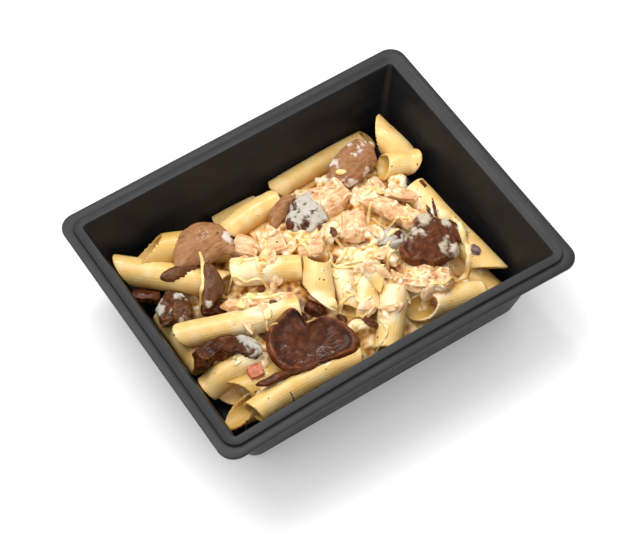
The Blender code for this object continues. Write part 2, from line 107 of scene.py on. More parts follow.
def add_node(tree, kind, settings=None, inputs=None):
    """Adds a node with its settings and its inputs, each a value or a socket to link."""
    made = tree.nodes.new(kind)
    for key, value in (settings or {}).items():
        setattr(made, key, value)
    for key, value in (inputs or {}).items():
        if isinstance(value, bpy.types.NodeSocket):
            tree.links.new(value, made.inputs[key])
        else:
            made.inputs[key].default_value = value
    return made


table_bm = bmesh.new()
bmesh.ops.create_grid(table_bm, x_segments=1, y_segments=1, size=3.0)
table_mesh = bpy.data.meshes.new("table")
table_bm.to_mesh(table_mesh)
table_bm.free()
table = bpy.data.objects.new("table", table_mesh)
bpy.context.scene.collection.objects.link(table)
# White laminate: matt, so that it shows no mirror image of the tray.
laminate, _, _ = new_finish("white_laminate", FLOOR_WHITE, 0.75)
table_mesh.materials.append(laminate)

world = bpy.data.worlds.new("room")
world.use_nodes = True
world.node_tree.nodes["Background"].inputs["Color"].default_value = (1.0, 1.0, 1.0, 1.0)
world.node_tree.nodes["Background"].inputs["Strength"].default_value = ROOM_LIGHT
bpy.context.scene.world = world

for name, watts, place, size in (
    ("key_softbox", KEY_WATTS, (-0.22, 0.62, 1.25), 0.8),
    ("glint_lamp", GLINT_WATTS, (0.4, 0.7, 1.25), 0.2),
    ("fill_softbox", FILL_WATTS, (-0.9, -0.7, 1.2), 0.9),
):
    light = bpy.data.lights.new(name, "AREA")
    light.energy = watts
    light.size = size
    lamp = bpy.data.objects.new(name, light)
    bpy.context.scene.collection.objects.link(lamp)
    aim = (Vector((0.0, 0.0, 0.02)) - Vector(place)).to_track_quat("-Z", "Y")
    lamp.matrix_world = Matrix.Translation(place) @ aim.to_matrix().to_4x4()

# Tray
# One sheet of black CPET, vacuum formed: walls that lean out, a rim with a flat band to seal the
# film on and a lower lip round it, and a floor raised inside a foot band.

RIM_LENGTH = 187.0
RIM_WIDTH = 149.6
OPENING_LENGTH = 169.4
OPENING_WIDTH = 131.0
SHEET = 0.8
END_SLOPE = 0.265
SIDE_SLOPE = 0.19
BASE_CORNER = 5.5
BASE_EDGE = 1.4
OPENING_CORNER = 2.0
RIM_CORNER = 8.0
BAND_WIDTH = 4.3
LIP_HEIGHT = TRAY_HEIGHT - 1.2
LIP_DEPTH = 1.3
FRONT_BOW = 1.4
ARC_POINTS = 12
BOW_CUTS = 8


def mesh_piece(name, bm, *finishes):
    """An object on the root body, of a bmesh drawn in millimetres."""
    bmesh.ops.scale(bm, vec=(0.001, 0.001, 0.001), verts=bm.verts)
    mesh = bpy.data.meshes.new(name)
    bm.to_mesh(mesh)
    bm.free()
    for material in finishes:
        mesh.materials.append(material)
    mesh.shade_smooth()
    obj = bpy.data.objects.new(name, mesh)
    bpy.context.scene.collection.objects.link(obj)
    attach(obj, "root")
    return obj


def lay_ring(ring, length, width, corner, height):
    """Puts the points of a ring on a rounded rectangle."""
    for i, vert in enumerate(ring):
        quarter, step = divmod(i, ARC_POINTS)
        angle = math.radians(90 * (quarter + step / (ARC_POINTS - 1)))
        sx = 1 if quarter in (0, 3) else -1
        sy = 1 if quarter in (0, 1) else -1
        x = sx * (length / 2 - corner) + corner * math.cos(angle)
        y = sy * (width / 2 - corner) + corner * math.sin(angle)
        vert.co = (x, y, height)


tray_bm = bmesh.new()
ring = bmesh.ops.create_circle(tray_bm, cap_ends=True, segments=4 * ARC_POINTS, radius=1.0)["verts"]
floor_length = OPENING_LENGTH - 2 * END_SLOPE * (TRAY_HEIGHT - SHEET)
floor_width = OPENING_WIDTH - 2 * SIDE_SLOPE * (TRAY_HEIGHT - SHEET)
# Each ring of the sheet's upper face, from the floor out: length, width, corner, height
rings = []
for inset, rise in ((13.0, 0.7), (11.2, 0.6), (10.6, 0.35), (10.0, 0.1), (9.0, 0.0), (4.0, 0.0)):
    rings.append((floor_length - 2 * inset, floor_width - 2 * inset, BASE_CORNER - 1.5, SHEET + rise))
for angle in (0, 16, 32, 48, 64, 78):
    out = BASE_EDGE * (1 - math.sin(math.radians(angle)))
    up = BASE_EDGE * (1 - math.cos(math.radians(angle)))
    rings.append((floor_length - 2 * out, floor_width - 2 * out, BASE_CORNER - out, SHEET + up))
for drop, back in ((0.6, 0.0), (0.25, -0.06), (0.06, -0.2), (0.0, -0.5)):
    length = OPENING_LENGTH - 2 * END_SLOPE * drop - 2 * back
    width = OPENING_WIDTH - 2 * SIDE_SLOPE * drop - 2 * back
    rings.append((length, width, OPENING_CORNER - back, TRAY_HEIGHT - 0.15 - drop))
# The band ends in a low bead, then steps down to the lip, whose edge turns down at the outside.
for out, height in (
    (BAND_WIDTH - 0.75, TRAY_HEIGHT - 0.15),
    (BAND_WIDTH - 0.5, TRAY_HEIGHT - 0.04),
    (BAND_WIDTH - 0.25, TRAY_HEIGHT),
    (BAND_WIDTH, TRAY_HEIGHT - 0.1),
    (BAND_WIDTH + 0.12, TRAY_HEIGHT - 0.4),
    (BAND_WIDTH + 0.25, LIP_HEIGHT),
    (BAND_WIDTH + 0.5, LIP_HEIGHT - 0.12),
    (BAND_WIDTH + 0.9, LIP_HEIGHT),
):
    corner = OPENING_CORNER + out
    rings.append((OPENING_LENGTH + 2 * out, OPENING_WIDTH + 2 * out, corner, height))
for back, down in ((0.7, 0.0), (0.3, 0.08), (0.08, 0.3), (0.0, 0.6), (0.0, LIP_DEPTH)):
    rings.append((RIM_LENGTH - 2 * back, RIM_WIDTH - 2 * back, RIM_CORNER - back, LIP_HEIGHT - down))
lay_ring(ring, *rings[0])
for values in rings[1:]:
    edges = {edge for vert in ring for edge in vert.link_edges}
    edges = [edge for edge in edges if edge.is_boundary]
    new = set(bmesh.ops.extrude_edge_only(tray_bm, edges=edges)["geom"])
    ring = [next(e.other_vert(v) for e in v.link_edges if e.other_vert(v) in new) for v in ring]
    lay_ring(ring, *values)
# The long front side bows in, most of all at the rim.
long_edges = [
    edge
    for edge in tray_bm.edges
    if abs(edge.verts[0].co.x - edge.verts[1].co.x) > 60 and edge.verts[0].co.y < 0
]
bmesh.ops.subdivide_edges(tray_bm, edges=long_edges, cuts=BOW_CUTS, use_grid_fill=True)
for vert in tray_bm.verts:
    if vert.co.y < 0:
        share = min(1.0, abs(vert.co.x) / (OPENING_LENGTH / 2 - OPENING_CORNER))
        rise = min(1.0, max(0.0, (vert.co.z - 3.0) / (TRAY_HEIGHT - 4.0)))
        vert.co.y += FRONT_BOW * (1 - share * share) * rise
bmesh.ops.recalc_face_normals(tray_bm, faces=tray_bm.faces)
if sum(face.normal.z * face.calc_area() for face in tray_bm.faces) < 0:
    bmesh.ops.reverse_faces(tray_bm, faces=tray_bm.faces)


def grain_at(tree, place, turns, detail):
    """Noise at a place, with this many turns to a unit, as one number or one for each direction."""
    if isinstance(turns, tuple):
        place = add_node(tree, "ShaderNodeMapping", None, {"Vector": place, "Scale": turns}).outputs[0]
        turns = 1.0
    made = add_node(tree, "ShaderNodeTexNoise", None, {"Vector": place, "Scale": turns, "Detail": detail})
    return made.outputs[0]


def tone_at(tree, value, stops):
    """The tone at a value on a run of colours, each stop a position and a colour."""
    made = add_node(tree, "ShaderNodeValToRGB", None, {0: value})
    elements = made.color_ramp.elements
    while len(elements) < len(stops):
        elements.new(0.5)
    for element, (position, code) in zip(elements, stops):
        element.position = position
        element.color = linear(code)
    return made.outputs[0]


def set_relief(tree, shader, height, strength, depth):
    """Small bumps on a finish, up to a depth in metres."""
    made = add_node(tree, "ShaderNodeBump", None, {"Height": height, "Strength": strength, "Distance": depth})
    tree.links.new(made.outputs[0], shader.inputs["Normal"])


# CPET, vacuum formed: near black, satin, with a faint pebble of under 1 mm from the mould, and marks
# of handling about 17 mm long that change the gloss.
cpet, tree, shader = new_finish("cpet_black", "#111214", 0.42, IOR=1.57, Specular_IOR_Level=0.27)
place = add_node(tree, "ShaderNodeTexCoord").outputs["Object"]
marks = grain_at(tree, place, (60.0, 60.0, 300.0), 5.0)
gloss = add_node(tree, "ShaderNodeMapRange", None, {0: marks, 1: 0.3, 2: 0.7, 3: 0.38, 4: 0.5})
tree.links.new(gloss.outputs[0], shader.inputs["Roughness"])
tone = tone_at(tree, marks, [(0.3, "#0F1012"), (0.7, "#17181B")])
tree.links.new(tone, shader.inputs["Base Color"])
set_relief(tree, shader, grain_at(tree, place, 1400.0, 2.0), 0.12, 0.0001)

tray = mesh_piece("tray_shell", tray_bm, cpet)
sheet = tray.modifiers.new("sheet", "SOLIDIFY")
sheet.thickness = SHEET / 1000
sheet.offset = -1.0
sheet.use_even_offset = True
tray.data.set_sharp_from_angle(angle=math.radians(28))
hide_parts("tray")

# Penne
# Boiled durum wheat pasta: ridged tubes cut slantwise at both ends, soft enough to sag and to
# flatten where they are pressed, wet with sauce. Those on top are smooth and pale yellow.

PENNE_WALL = 1.25
RIDGES = 26
RIDGE_HEIGHT = 0.3
RING_POINTS = 2 * RIDGES
# Steps of the mesh along a tube
STATION = 1.1
# Slant of the usual cut, in degrees from square
QUILL = 42.0
# How far a film of sauce stands on what it covers
FILM_LIFT = 0.35
# Each penne: the start and end of its axis, its radius, the way each cut end faces as (turn, slant),
# its bend to the left and up over its length, and how much its two ends are flattened. Turn 0 faces
# up and 90 left of the way from start to end. None is a square end that is hidden.
PENNE = {
    "back_long": ((12, 53, 14), (63, 53, 15), 5.0, (180, QUILL), (0, 30), (1.2, -0.8), (0.1, 0.25)),
    "back_floor": ((8, 48, 7), (60, 49, 7), 5.0, None, None, (0, 0), (0, 0)),
    "back_left": ((-62, 50, 24), (-27, 36, 18), 6.3, (50, 52), None, (0.8, 0.8), (0.12, 0)),
    "left_tip": (
        (-74.5, 49.5, 21.5), (-36, 16, 17), 6.4, (-150, QUILL), (-30, QUILL), (-0.8, 1.0), (0.1, 0.1),
    ),
    "centre": ((-33, 19, 22), (-6, 4, 22.5), 6.0, (180, 20), None, (0, 0.6), (0.1, 0)),
    "mid_left": ((-68, 6, 17), (-18, -13, 20), 5.9, (180, QUILL), None, (-1.0, 0.6), (0.1, 0)),
    "left_low": ((-68, 26, 9), (-68, -8, 8), 5.8, None, None, (0, 0), (0, 0)),
    "front_short": ((-72.5, -20, 9.5), (-44, -21, 14), 6.2, (180, 20), None, (0.6, 2.6), (0.05, 0)),
    "front_under": ((-65, -29.5, 11.5), (-33, -36, 12), 6.0, (-60, 50), None, (0, 0), (0.2, 0)),
    "corner_open": ((-66.5, -39, 11.5), (-33, -41, 7), 6.2, (25, 54), None, (0, 0), (0.1, 0)),
    "front_long": (
        (-63.5, -45.8, 17.3), (-12, -46.9, 18.9), 5.8, (-90, 15), (180, 34), (0.9, 0.4), (0.08, 0.1),
    ),
    "right_front": ((30, -40.5, 15.5), (60, -48, 12), 6.0, (-20, 48), None, (0, 0.5), (0.1, 0)),
    "right_long": ((62.5, 13, 22), (68, -41.5, 17.5), 6.1, None, (-120, QUILL), (-0.9, 0.8), (0, 0.15)),
    "right_under": ((61, -24, 10), (65, -51, 8), 6.2, None, (0, 20), (0, 0), (0, 0.1)),
    "corner_up": ((69.5, 30, 20), (66, 47, 24), 6.3, None, (125, 48), (0, 0.8), (0, 0.15)),
    "top_curl": ((57.5, 31.5, 21), (70, 25.5, 22.5), 5.8, (0, 30), (180, QUILL), (0, 0.5), (0.4, 0.2)),
    "back_mid": ((-20, 43, 18), (1.5, 44.5, 19), 5.8, (180, QUILL), (180, QUILL), (0.5, 0.4), (0.1, 0.1)),
    "back_low": ((-20, 53, 9.5), (0, 52.5, 9.5), 5.6, (180, 35), None, (0, 0), (0.1, 0)),
    "back_gap": ((-14, 36, 12), (4, 39, 12), 5.2, None, None, (0, 0), (0, 0)),
    "centre_open": ((3.0, 6, 24.5), (-8, -13, 21.5), 6.4, (20, 50), (-120, 52), (0, 0.5), (0.3, 0.3)),
    "front_pair": ((16, -12, 19), (6, -34, 17), 5.4, None, (60, 36), (0.8, 0), (0.2, 0.35)),
    "front_slim": ((7.5, -7, 21), (1.5, -26, 17), 4.8, (180, 30), (-60, 40), (0.4, 0), (0.3, 0.45)),
    "front_mid": ((24, -26, 18.5), (5, -50, 13.5), 6.0, None, None, (0.8, 0.3), (0.25, 0.1)),
    "middle_fold": ((17, -5, 22.5), (21.5, -22, 21.5), 4.8, None, (100, 35), (0, 0), (0, 0.35)),
    "right_back": ((44, 14, 14), (60, -10, 13), 5.6, None, None, (0, 0), (0, 0)),
}
# Where the sauce lies thick, as (x, y, reach, amount)
COVER = (
    (20, 24, 20, 1.0),
    (26, -2, 20, 1.0),
    (42, -6, 17, 0.9),
    (48, 8, 13, 0.9),
    (13, -34, 9, 0.7),
    (33, -33, 13, 0.8),
    (0, 22, 12, 0.9),
    (-24, 18, 11, 0.9),
    (-30, 0, 12, 0.7),
    (-46, -18, 11, 0.8),
    (-52, -34, 9, 0.8),
    (9, -15, 9, 0.7),
    (-12, -24, 10, 0.5),
    (54, 16, 8, 0.6),
    (44, 22, 10, 0.9),
    (-14, 26, 9, 0.6),
)


def cover_at(point):
    """How thick the sauce lies at a point of the heap, from 0 for none to about 1."""
    cover = 0.0
    for x, y, reach, amount in COVER:
        distance = math.hypot(point.x - x, point.y - y) / reach
        cover = max(cover, amount * math.exp(-(distance**4)))
    cover += 0.4 * noise.noise(point / 10.0) + 0.14 * noise.noise(point / 4.0)
    return cover


def join_in(bm, part):
    """Adds one bmesh to another and frees it."""
    mesh = bpy.data.meshes.new("part")
    part.to_mesh(mesh)
    part.free()
    bm.from_mesh(mesh)
    bpy.data.meshes.remove(mesh)


def penne_frame(start, end):
    """The three directions of a penne: its axis, up and left."""
    axis = (end - start).normalized()
    up = (Vector((0, 0, 1)) - axis * axis.z).normalized()
    return axis, up, up.cross(axis)


def make_penne(bm, start, end, radius, start_cut, end_cut, bend, flat):
    """Adds the outer skin of one penne, open at its ends, to a bmesh."""
    start, end = Vector(start), Vector(end)
    axis, up, left = penne_frame(start, end)
    length = (end - start).length
    spare = 2.2 * radius
    tube = bmesh.new()
    groove_shade = tube.verts.layers.float.new("groove_shade")
    bmesh.ops.create_cone(
        tube,
        cap_ends=False,
        segments=RING_POINTS,
        radius1=radius,
        radius2=radius,
        depth=length + 2 * spare,
        matrix=Matrix.Translation((0, 0, length / 2)),
    )
    runs = [edge for edge in tube.edges if abs(edge.verts[0].co.z - edge.verts[1].co.z) > 1]
    cuts = int((length + 2 * spare) / STATION)
    bmesh.ops.subdivide_edges(tube, edges=runs, cuts=cuts, use_grid_fill=True)
    for place, outward, cut in ((0.0, -1, start_cut), (length, 1, end_cut)):
        angle, slant = (math.radians(value) for value in cut or (0, 0))
        # The tube stands on Z here, with up along X and left along Y.
        normal = Vector((math.sin(slant) * math.cos(angle), math.sin(slant) * math.sin(angle), 0))
        normal.z = outward * math.cos(slant)
        bmesh.ops.bisect_plane(
            tube,
            geom=[*tube.verts, *tube.edges, *tube.faces],
            plane_co=(0, 0, place),
            plane_no=normal,
            clear_outer=True,
        )
    bmesh.ops.remove_doubles(tube, verts=tube.verts, dist=0.12)
    seed = Vector((start.x, start.y, 0)) * 0.7
    for vert in tube.verts:
        share = min(1.0, max(0.0, vert.co.z / length))
        angle = math.atan2(vert.co.y, vert.co.x)
        fade = min(1.0, 0.2 + 7 * min(share, 1 - share))
        ridge = RIDGE_HEIGHT * math.cos(RIDGES * angle) * fade
        sag = 0.035 * radius * math.cos(2 * angle) + 0.5 * noise.noise(vert.co / 11.0 + seed)
        swell = (radius + ridge - 0.4 * sag) / radius
        # How deep each point lies in a groove, kept for the painted shade in the grooves.
        vert[groove_shade] = 0.5 - 0.5 * math.cos(RIDGES * angle)
        squeeze = flat[0] * (1 - share) ** 4 + flat[1] * share**4
        x = vert.co.x * swell * (1 - squeeze)
        y = vert.co.y * swell * (1 + 0.6 * squeeze)
        arch = 4 * share * (1 - share)
        vert.co = start + axis * vert.co.z + up * (x + bend[1] * arch) + left * (y + bend[0] * arch)
    join_in(bm, tube)


def store(obj, name, values):
    """Keeps a number for each vertex as an attribute that the finishes read."""
    attribute = obj.data.attributes.new(name, "FLOAT", "POINT")
    attribute.data.foreach_set("value", np.array(values, np.float32))


def point_value(tree, name):
    """A number that is kept for each point of the mesh."""
    return add_node(tree, "ShaderNodeAttribute", {"attribute_name": name}).outputs["Fac"]


def scaled(tree, value, factor, offset):
    """A value times a factor plus an offset."""
    made = add_node(
        tree, "ShaderNodeMath", {"operation": "MULTIPLY_ADD"}, {0: value, 1: factor, 2: offset}
    )
    return made.outputs[0]


def blend(tree, share, under, over):
    """One tone laid over another by a share from 0 to 1."""
    made = add_node(tree, "ShaderNodeMix", {"data_type": "RGBA"}, {0: share, 6: under, 7: over})
    return made.outputs[2]


# Boiled durum wheat pasta: pale yellow in blotches of about 8 mm over a grain of about 1 mm. Light
# passes a little way in, and the skin is wet. The inside of the tube is a deeper ochre, because the
# light there has come through the wall.
pasta, tree, shader = new_finish(
    "boiled_durum_pasta",
    "#F3CA80",
    0.34,
    IOR=1.45,
    Specular_IOR_Level=0.35,
    Subsurface_Weight=0.15,
    Subsurface_Radius=(1.0, 0.75, 0.45),
    Subsurface_Scale=0.003,
    Coat_Weight=0.25,
    Coat_Roughness=0.12,
)
place = add_node(tree, "ShaderNodeTexCoord").outputs["Object"]
blotch = grain_at(tree, place, 130.0, 4.0)
dough = tone_at(tree, blotch, [(0.3, "#EDBE6C"), (0.5, "#F3CA80"), (0.72, "#F8DCA2")])
# Painted shade: the grooves between the ridges and the undersides, where shade falls, are painted a deeper
# yellow.
dough = blend(tree, scaled(tree, point_value(tree, "groove_shade"), 0.2, 0.0), dough, linear("#DFA448"))
dough = blend(tree, point_value(tree, "under"), dough, linear("#DC9A34"))
cream = tone_at(tree, blotch, [(0.35, "#F4D69C"), (0.6, "#F8E4BC")])
skin = blend(tree, point_value(tree, "film"), dough, cream)
tree.links.new(skin, shader.inputs["Base Color"])
set_relief(tree, shader, grain_at(tree, place, 900.0, 3.0), 0.25, 0.0002)

bore, _, _ = new_finish(
    "pasta_bore",
    "#D8B05C",
    0.4,
    IOR=1.45,
    Subsurface_Weight=0.3,
    Subsurface_Radius=(1.0, 0.6, 0.15),
    Subsurface_Scale=0.002,
    Coat_Weight=0.3,
    Coat_Roughness=0.2,
)

PENNE_GROUPS = {
    "penne_back": (
        "back_long", "back_floor", "back_left", "back_mid", "back_low", "back_gap", "corner_up", "top_curl",
    ),
    "penne_left": (
        "left_tip", "centre", "mid_left", "left_low", "front_short", "front_under", "corner_open",
        "front_long",
    ),
    "penne_right": (
        "right_front", "right_long", "right_under", "centre_open", "front_pair", "front_slim", "front_mid",
        "middle_fold", "right_back",
    ),
}
penne_pieces = []
for name, members in PENNE_GROUPS.items():
    penne_bm = bmesh.new()
    for member in members:
        make_penne(penne_bm, *PENNE[member])
    bmesh.ops.recalc_face_normals(penne_bm, faces=penne_bm.faces)
    films = []
    underside_shades = []
    for vert in penne_bm.verts:
        share = min(1.0, max(0.0, (cover_at(vert.co) - 0.18) / 0.3))
        films.append(share)
        # Painted shade: points that face down or sideways get a deeper yellow on the pasta.
        underside_shades.append(min(0.75, max(0.0, 0.4 - 0.95 * vert.normal.z)))
        vert.co += vert.normal * FILM_LIFT * share
    piece = mesh_piece(name, penne_bm, pasta, bore)
    store(piece, "film", films)
    store(piece, "under", underside_shades)
    wall = piece.modifiers.new("wall", "SOLIDIFY")
    wall.thickness = PENNE_WALL / 1000
    wall.offset = -1.0
    wall.material_offset = 1
    penne_pieces.append(piece)

# Sauce
# Cream and melted cheese, thick enough to stand in lumps over the scraps in it. It fills the room
# between the penne, coats them in patches and leaves their tops bare.

SAUCE_LENGTH = 134.0
SAUCE_WIDTH = 102.0
SAUCE_BASE = 1.9
SAUCE_LEVEL = 13.0
SAUCE_EDGE = 7.0
# Grid that the sauce's skin is made on, as fine as keeps it under 200,000 triangles
VOXEL = 0.74
# Mounds of sauce, as (x, y, rise, reach)
MOUNDS = (
    (24, 12, 9.0, 30),
    (40, -18, 4.0, 20),
    (2, 24, 4.0, 18),
    (-34, -28, 4.0, 22),
    (-18, 8, 4.5, 24),
    (48, 26, 3.0, 18),
    (-58, -30, -5.0, 16),
    (-66, 12, -3.0, 14),
    (26, -43, -5.0, 12),
)
# Scraps under the sauce, as their middles and their sizes along, across and up
SAUCED_BITS = (
    ((15, -3, 24), (12, 8, 7)),
    ((23, -8, 24), (9, 13, 7)),
    ((31, -13, 22), (13, 8, 7)),
    ((21, -19, 20), (8, 11, 7)),
    ((31, -1, 25), (11, 9, 6)),
    ((15, 11, 26), (9, 12, 7)),
    ((27, -25, 19), (11, 8, 7)),
    ((49, 1, 22), (9, 7, 6)),
    ((56, -3, 21), (7, 12, 6)),
    ((44, 22, 22), (13, 9, 7)),
    ((36, 19, 24), (8, 10, 7)),
    ((17, 38, 17), (14, 8, 8)),
    ((31, 42, 16), (10, 9, 8)),
    ((-5, 15, 23), (9, 7, 6)),
    ((-30, -13, 19), (14, 7, 6)),
    ((58, 20, 21), (9, 13, 6)),
    ((-46, -24, 16), (9, 12, 6)),
    ((0, -34, 17), (7, 12, 7)),
)


def sauce_level(x, y):
    """Height of the sauce's own surface, without what lies in it."""
    height = SAUCE_LEVEL
    for mound_x, mound_y, rise, reach in MOUNDS:
        distance = math.hypot(x - mound_x, y - mound_y) / reach
        height += rise * math.exp(-distance * distance)
    height += 1.6 * noise.noise(Vector((x, y, 0)) / 14) + 0.9 * noise.noise(Vector((x, y, 9)) / 5)
    out = max(abs(x) / (SAUCE_LENGTH / 2), abs(y) / (SAUCE_WIDTH / 2))
    fall = max(0.0, out - 0.8) / 0.2
    return height + (SAUCE_EDGE - SAUCE_LEVEL) * fall * fall


def remeshed(name, bm, voxel):
    """One closed skin over everything in a bmesh, drawn in millimetres."""
    mesh = bpy.data.meshes.new(name)
    bm.to_mesh(mesh)
    bm.free()
    rough = bpy.data.objects.new(name, mesh)
    bpy.context.scene.collection.objects.link(rough)
    skin = rough.modifiers.new("skin", "REMESH")
    skin.mode = "VOXEL"
    skin.voxel_size = voxel
    graph = bpy.context.evaluated_depsgraph_get()
    made = bmesh.new()
    made.from_mesh(rough.evaluated_get(graph).to_mesh())
    bpy.data.objects.remove(rough)
    bpy.data.meshes.remove(mesh)
    return made


sauce_bm = bmesh.new()
bmesh.ops.create_grid(sauce_bm, x_segments=90, y_segments=70, size=1.0)
for vert in sauce_bm.verts:
    u, v = vert.co.x, vert.co.y
    x = u * math.sqrt(1 - 0.28 * v * v) * SAUCE_LENGTH / 2
    y = v * math.sqrt(1 - 0.28 * u * u) * SAUCE_WIDTH / 2
    wobble = 1 + 0.09 * noise.noise(Vector((x, y, 22)) / 22) * max(abs(u), abs(v))
    vert.co = (x * wobble, y * wobble, sauce_level(x * wobble, y * wobble))
made = bmesh.ops.extrude_face_region(sauce_bm, geom=list(sauce_bm.faces), use_keep_orig=True)
for item in made["geom"]:
    if isinstance(item, bmesh.types.BMVert):
        item.co.z = SAUCE_BASE
for number, (spot, size) in enumerate(SAUCED_BITS):
    spin = Matrix.Translation(spot) @ Matrix.Rotation(number, 4, "Z") @ Matrix.Diagonal((*size, 1.0))
    lump = bmesh.ops.create_icosphere(sauce_bm, subdivisions=4, radius=0.5)["verts"]
    for vert in lump:
        vert.co *= 1 + 0.3 * noise.noise(vert.co * 4 + Vector(spot))
    bmesh.ops.transform(sauce_bm, matrix=spin, verts=lump)
# Each penne wears a coat of sauce along its middle: proud of the pasta where the sauce lies thick, and
# under its skin elsewhere.
for start, end, radius, _, _, bend, _ in PENNE.values():
    start, end = Vector(start), Vector(end)
    axis, up, left = penne_frame(start, end)
    length = (end - start).length
    coat = bmesh.new()
    # It stops short of both ends, so that the open bores stay open.
    depth = max(4.0, length - 3.4 * radius)
    bmesh.ops.create_cone(
        coat, cap_ends=True, segments=20, radius1=radius, radius2=radius, depth=depth
    )
    runs = [edge for edge in coat.edges if abs(edge.verts[0].co.z - edge.verts[1].co.z) > 1]
    bmesh.ops.subdivide_edges(coat, edges=runs, cuts=int(length / 2), use_grid_fill=True)
    for vert in coat.verts:
        share = vert.co.z / length + 0.5
        arch = 4 * share * (1 - share)
        middle = start + axis * (vert.co.z + length / 2) + up * bend[1] * arch + left * bend[0] * arch
        away = up * vert.co.x + left * vert.co.y
        thick = min(1.0, max(-1.1, (cover_at(middle + away) - 0.45) * 3.0))
        vert.co = middle + away * (radius + thick) / radius
    join_in(sauce_bm, coat)
bmesh.ops.recalc_face_normals(sauce_bm, faces=sauce_bm.faces)
sauce_bm = remeshed("sauce_body", sauce_bm, VOXEL)
for _ in range(2):
    bmesh.ops.smooth_vert(
        sauce_bm, verts=sauce_bm.verts, factor=0.5, use_axis_x=True, use_axis_y=True, use_axis_z=True
    )
sauce_bm.normal_update()
for vert in sauce_bm.verts:
    if vert.co.z > 6:
        lift = 1.3 * noise.noise(vert.co / 4.4) + 0.5 * noise.noise(vert.co / 2.1)
        vert.co += vert.normal * (lift + 0.12 * noise.noise(vert.co / 1.1))

# Cream sauce with melted cheese, with a wet gloss: pale yellow to orange in patches of about 12 mm
# and curds of 2 to 3 mm, and deeper at a few spots where fat gathers. It is painted paler where it
# stands up and a deeper orange brown in its hollows: painted light and shade.
sauce_finish, tree, shader = new_finish(
    "cheese_cream_sauce",
    "#F6DEB0",
    0.32,
    IOR=1.45,
    Specular_IOR_Level=0.35,
    Subsurface_Weight=0.15,
    Subsurface_Radius=(1.0, 0.75, 0.5),
    Subsurface_Scale=0.003,
    Coat_Weight=0.4,
    Coat_Roughness=0.12,
)
place = add_node(tree, "ShaderNodeTexCoord").outputs["Object"]
mixed = scaled(tree, grain_at(tree, place, 85.0, 3.0), 0.55, -0.28)
# Painted shade and light: the tone is darker in the hollows and paler where the sauce stands up.
mixed = scaled(tree, point_value(tree, "hollow_shade"), 1.0, mixed)
tones = tone_at(
    tree,
    mixed,
    [(0.1, "#F8E6C8"), (0.33, "#F2D49E"), (0.51, "#E8B96C"), (0.67, "#D19242"), (0.86, "#905422")],
)
tree.links.new(tones, shader.inputs["Base Color"])
set_relief(tree, shader, grain_at(tree, place, 420.0, 4.0), 0.4, 0.0006)


def hollow_of(obj, rounds):
    """For each vertex how deep it lies under its neighbourhood, from 0 to 1 with 0.5 for level."""
    mesh = obj.data
    count = len(mesh.vertices)
    points = np.empty(count * 3)
    mesh.vertices.foreach_get("co", points)
    points = points.reshape(-1, 3) * 1000
    normals = np.empty(count * 3)
    mesh.vertices.foreach_get("normal", normals)
    normals = normals.reshape(-1, 3)
    ends = np.empty(len(mesh.edges) * 2, np.int64)
    mesh.edges.foreach_get("vertices", ends)
    ends = ends.reshape(-1, 2)
    near = np.bincount(ends.ravel(), minlength=count)[:, None]
    smooth = points.copy()
    for _ in range(rounds):
        total = np.zeros_like(smooth)
        for axis in range(3):
            total[:, axis] = np.bincount(ends[:, 0], smooth[ends[:, 1], axis], count)
            total[:, axis] += np.bincount(ends[:, 1], smooth[ends[:, 0], axis], count)
        smooth = 0.5 * smooth + 0.5 * total / near
    depth = ((smooth - points) * normals).sum(1)
    return np.clip(0.5 + 0.85 * depth, 0.0, 1.0)


# Where fat has gathered, or cream where the amount is below 0, as (x, y, reach, amount)
FAT_POOLS = (
    (-27, 9, 11, 0.3),
    (-6, -4, 8, 0.25),
    (3, -2, 7, 0.2),
    (-45, -18, 8, 0.2),
    (22, -14, 9, 0.1),
    (40, -9, 9, -0.3),
    (20, 31, 8, -0.2),
)
pools = []
for vert in sauce_bm.verts:
    fat = 0.0
    for x, y, reach, amount in FAT_POOLS:
        fat += amount * math.exp(-((vert.co.x - x) ** 2 + (vert.co.y - y) ** 2) / reach**2)
    pools.append(fat)
sauce = mesh_piece("cream_sauce", sauce_bm, sauce_finish)
# The hollow depths are kept for the painted shade, with the spots where fat gathers added.
store(sauce, "hollow_shade", hollow_of(sauce, 14) + np.array(pools))
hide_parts("pasta_heap")

# Mushroom slices
# Slices of brown caps, fried dark: flat slabs with a rolled rim, gills or wrinkles on the face,
# and a smear of sauce. Each lies where its node does.

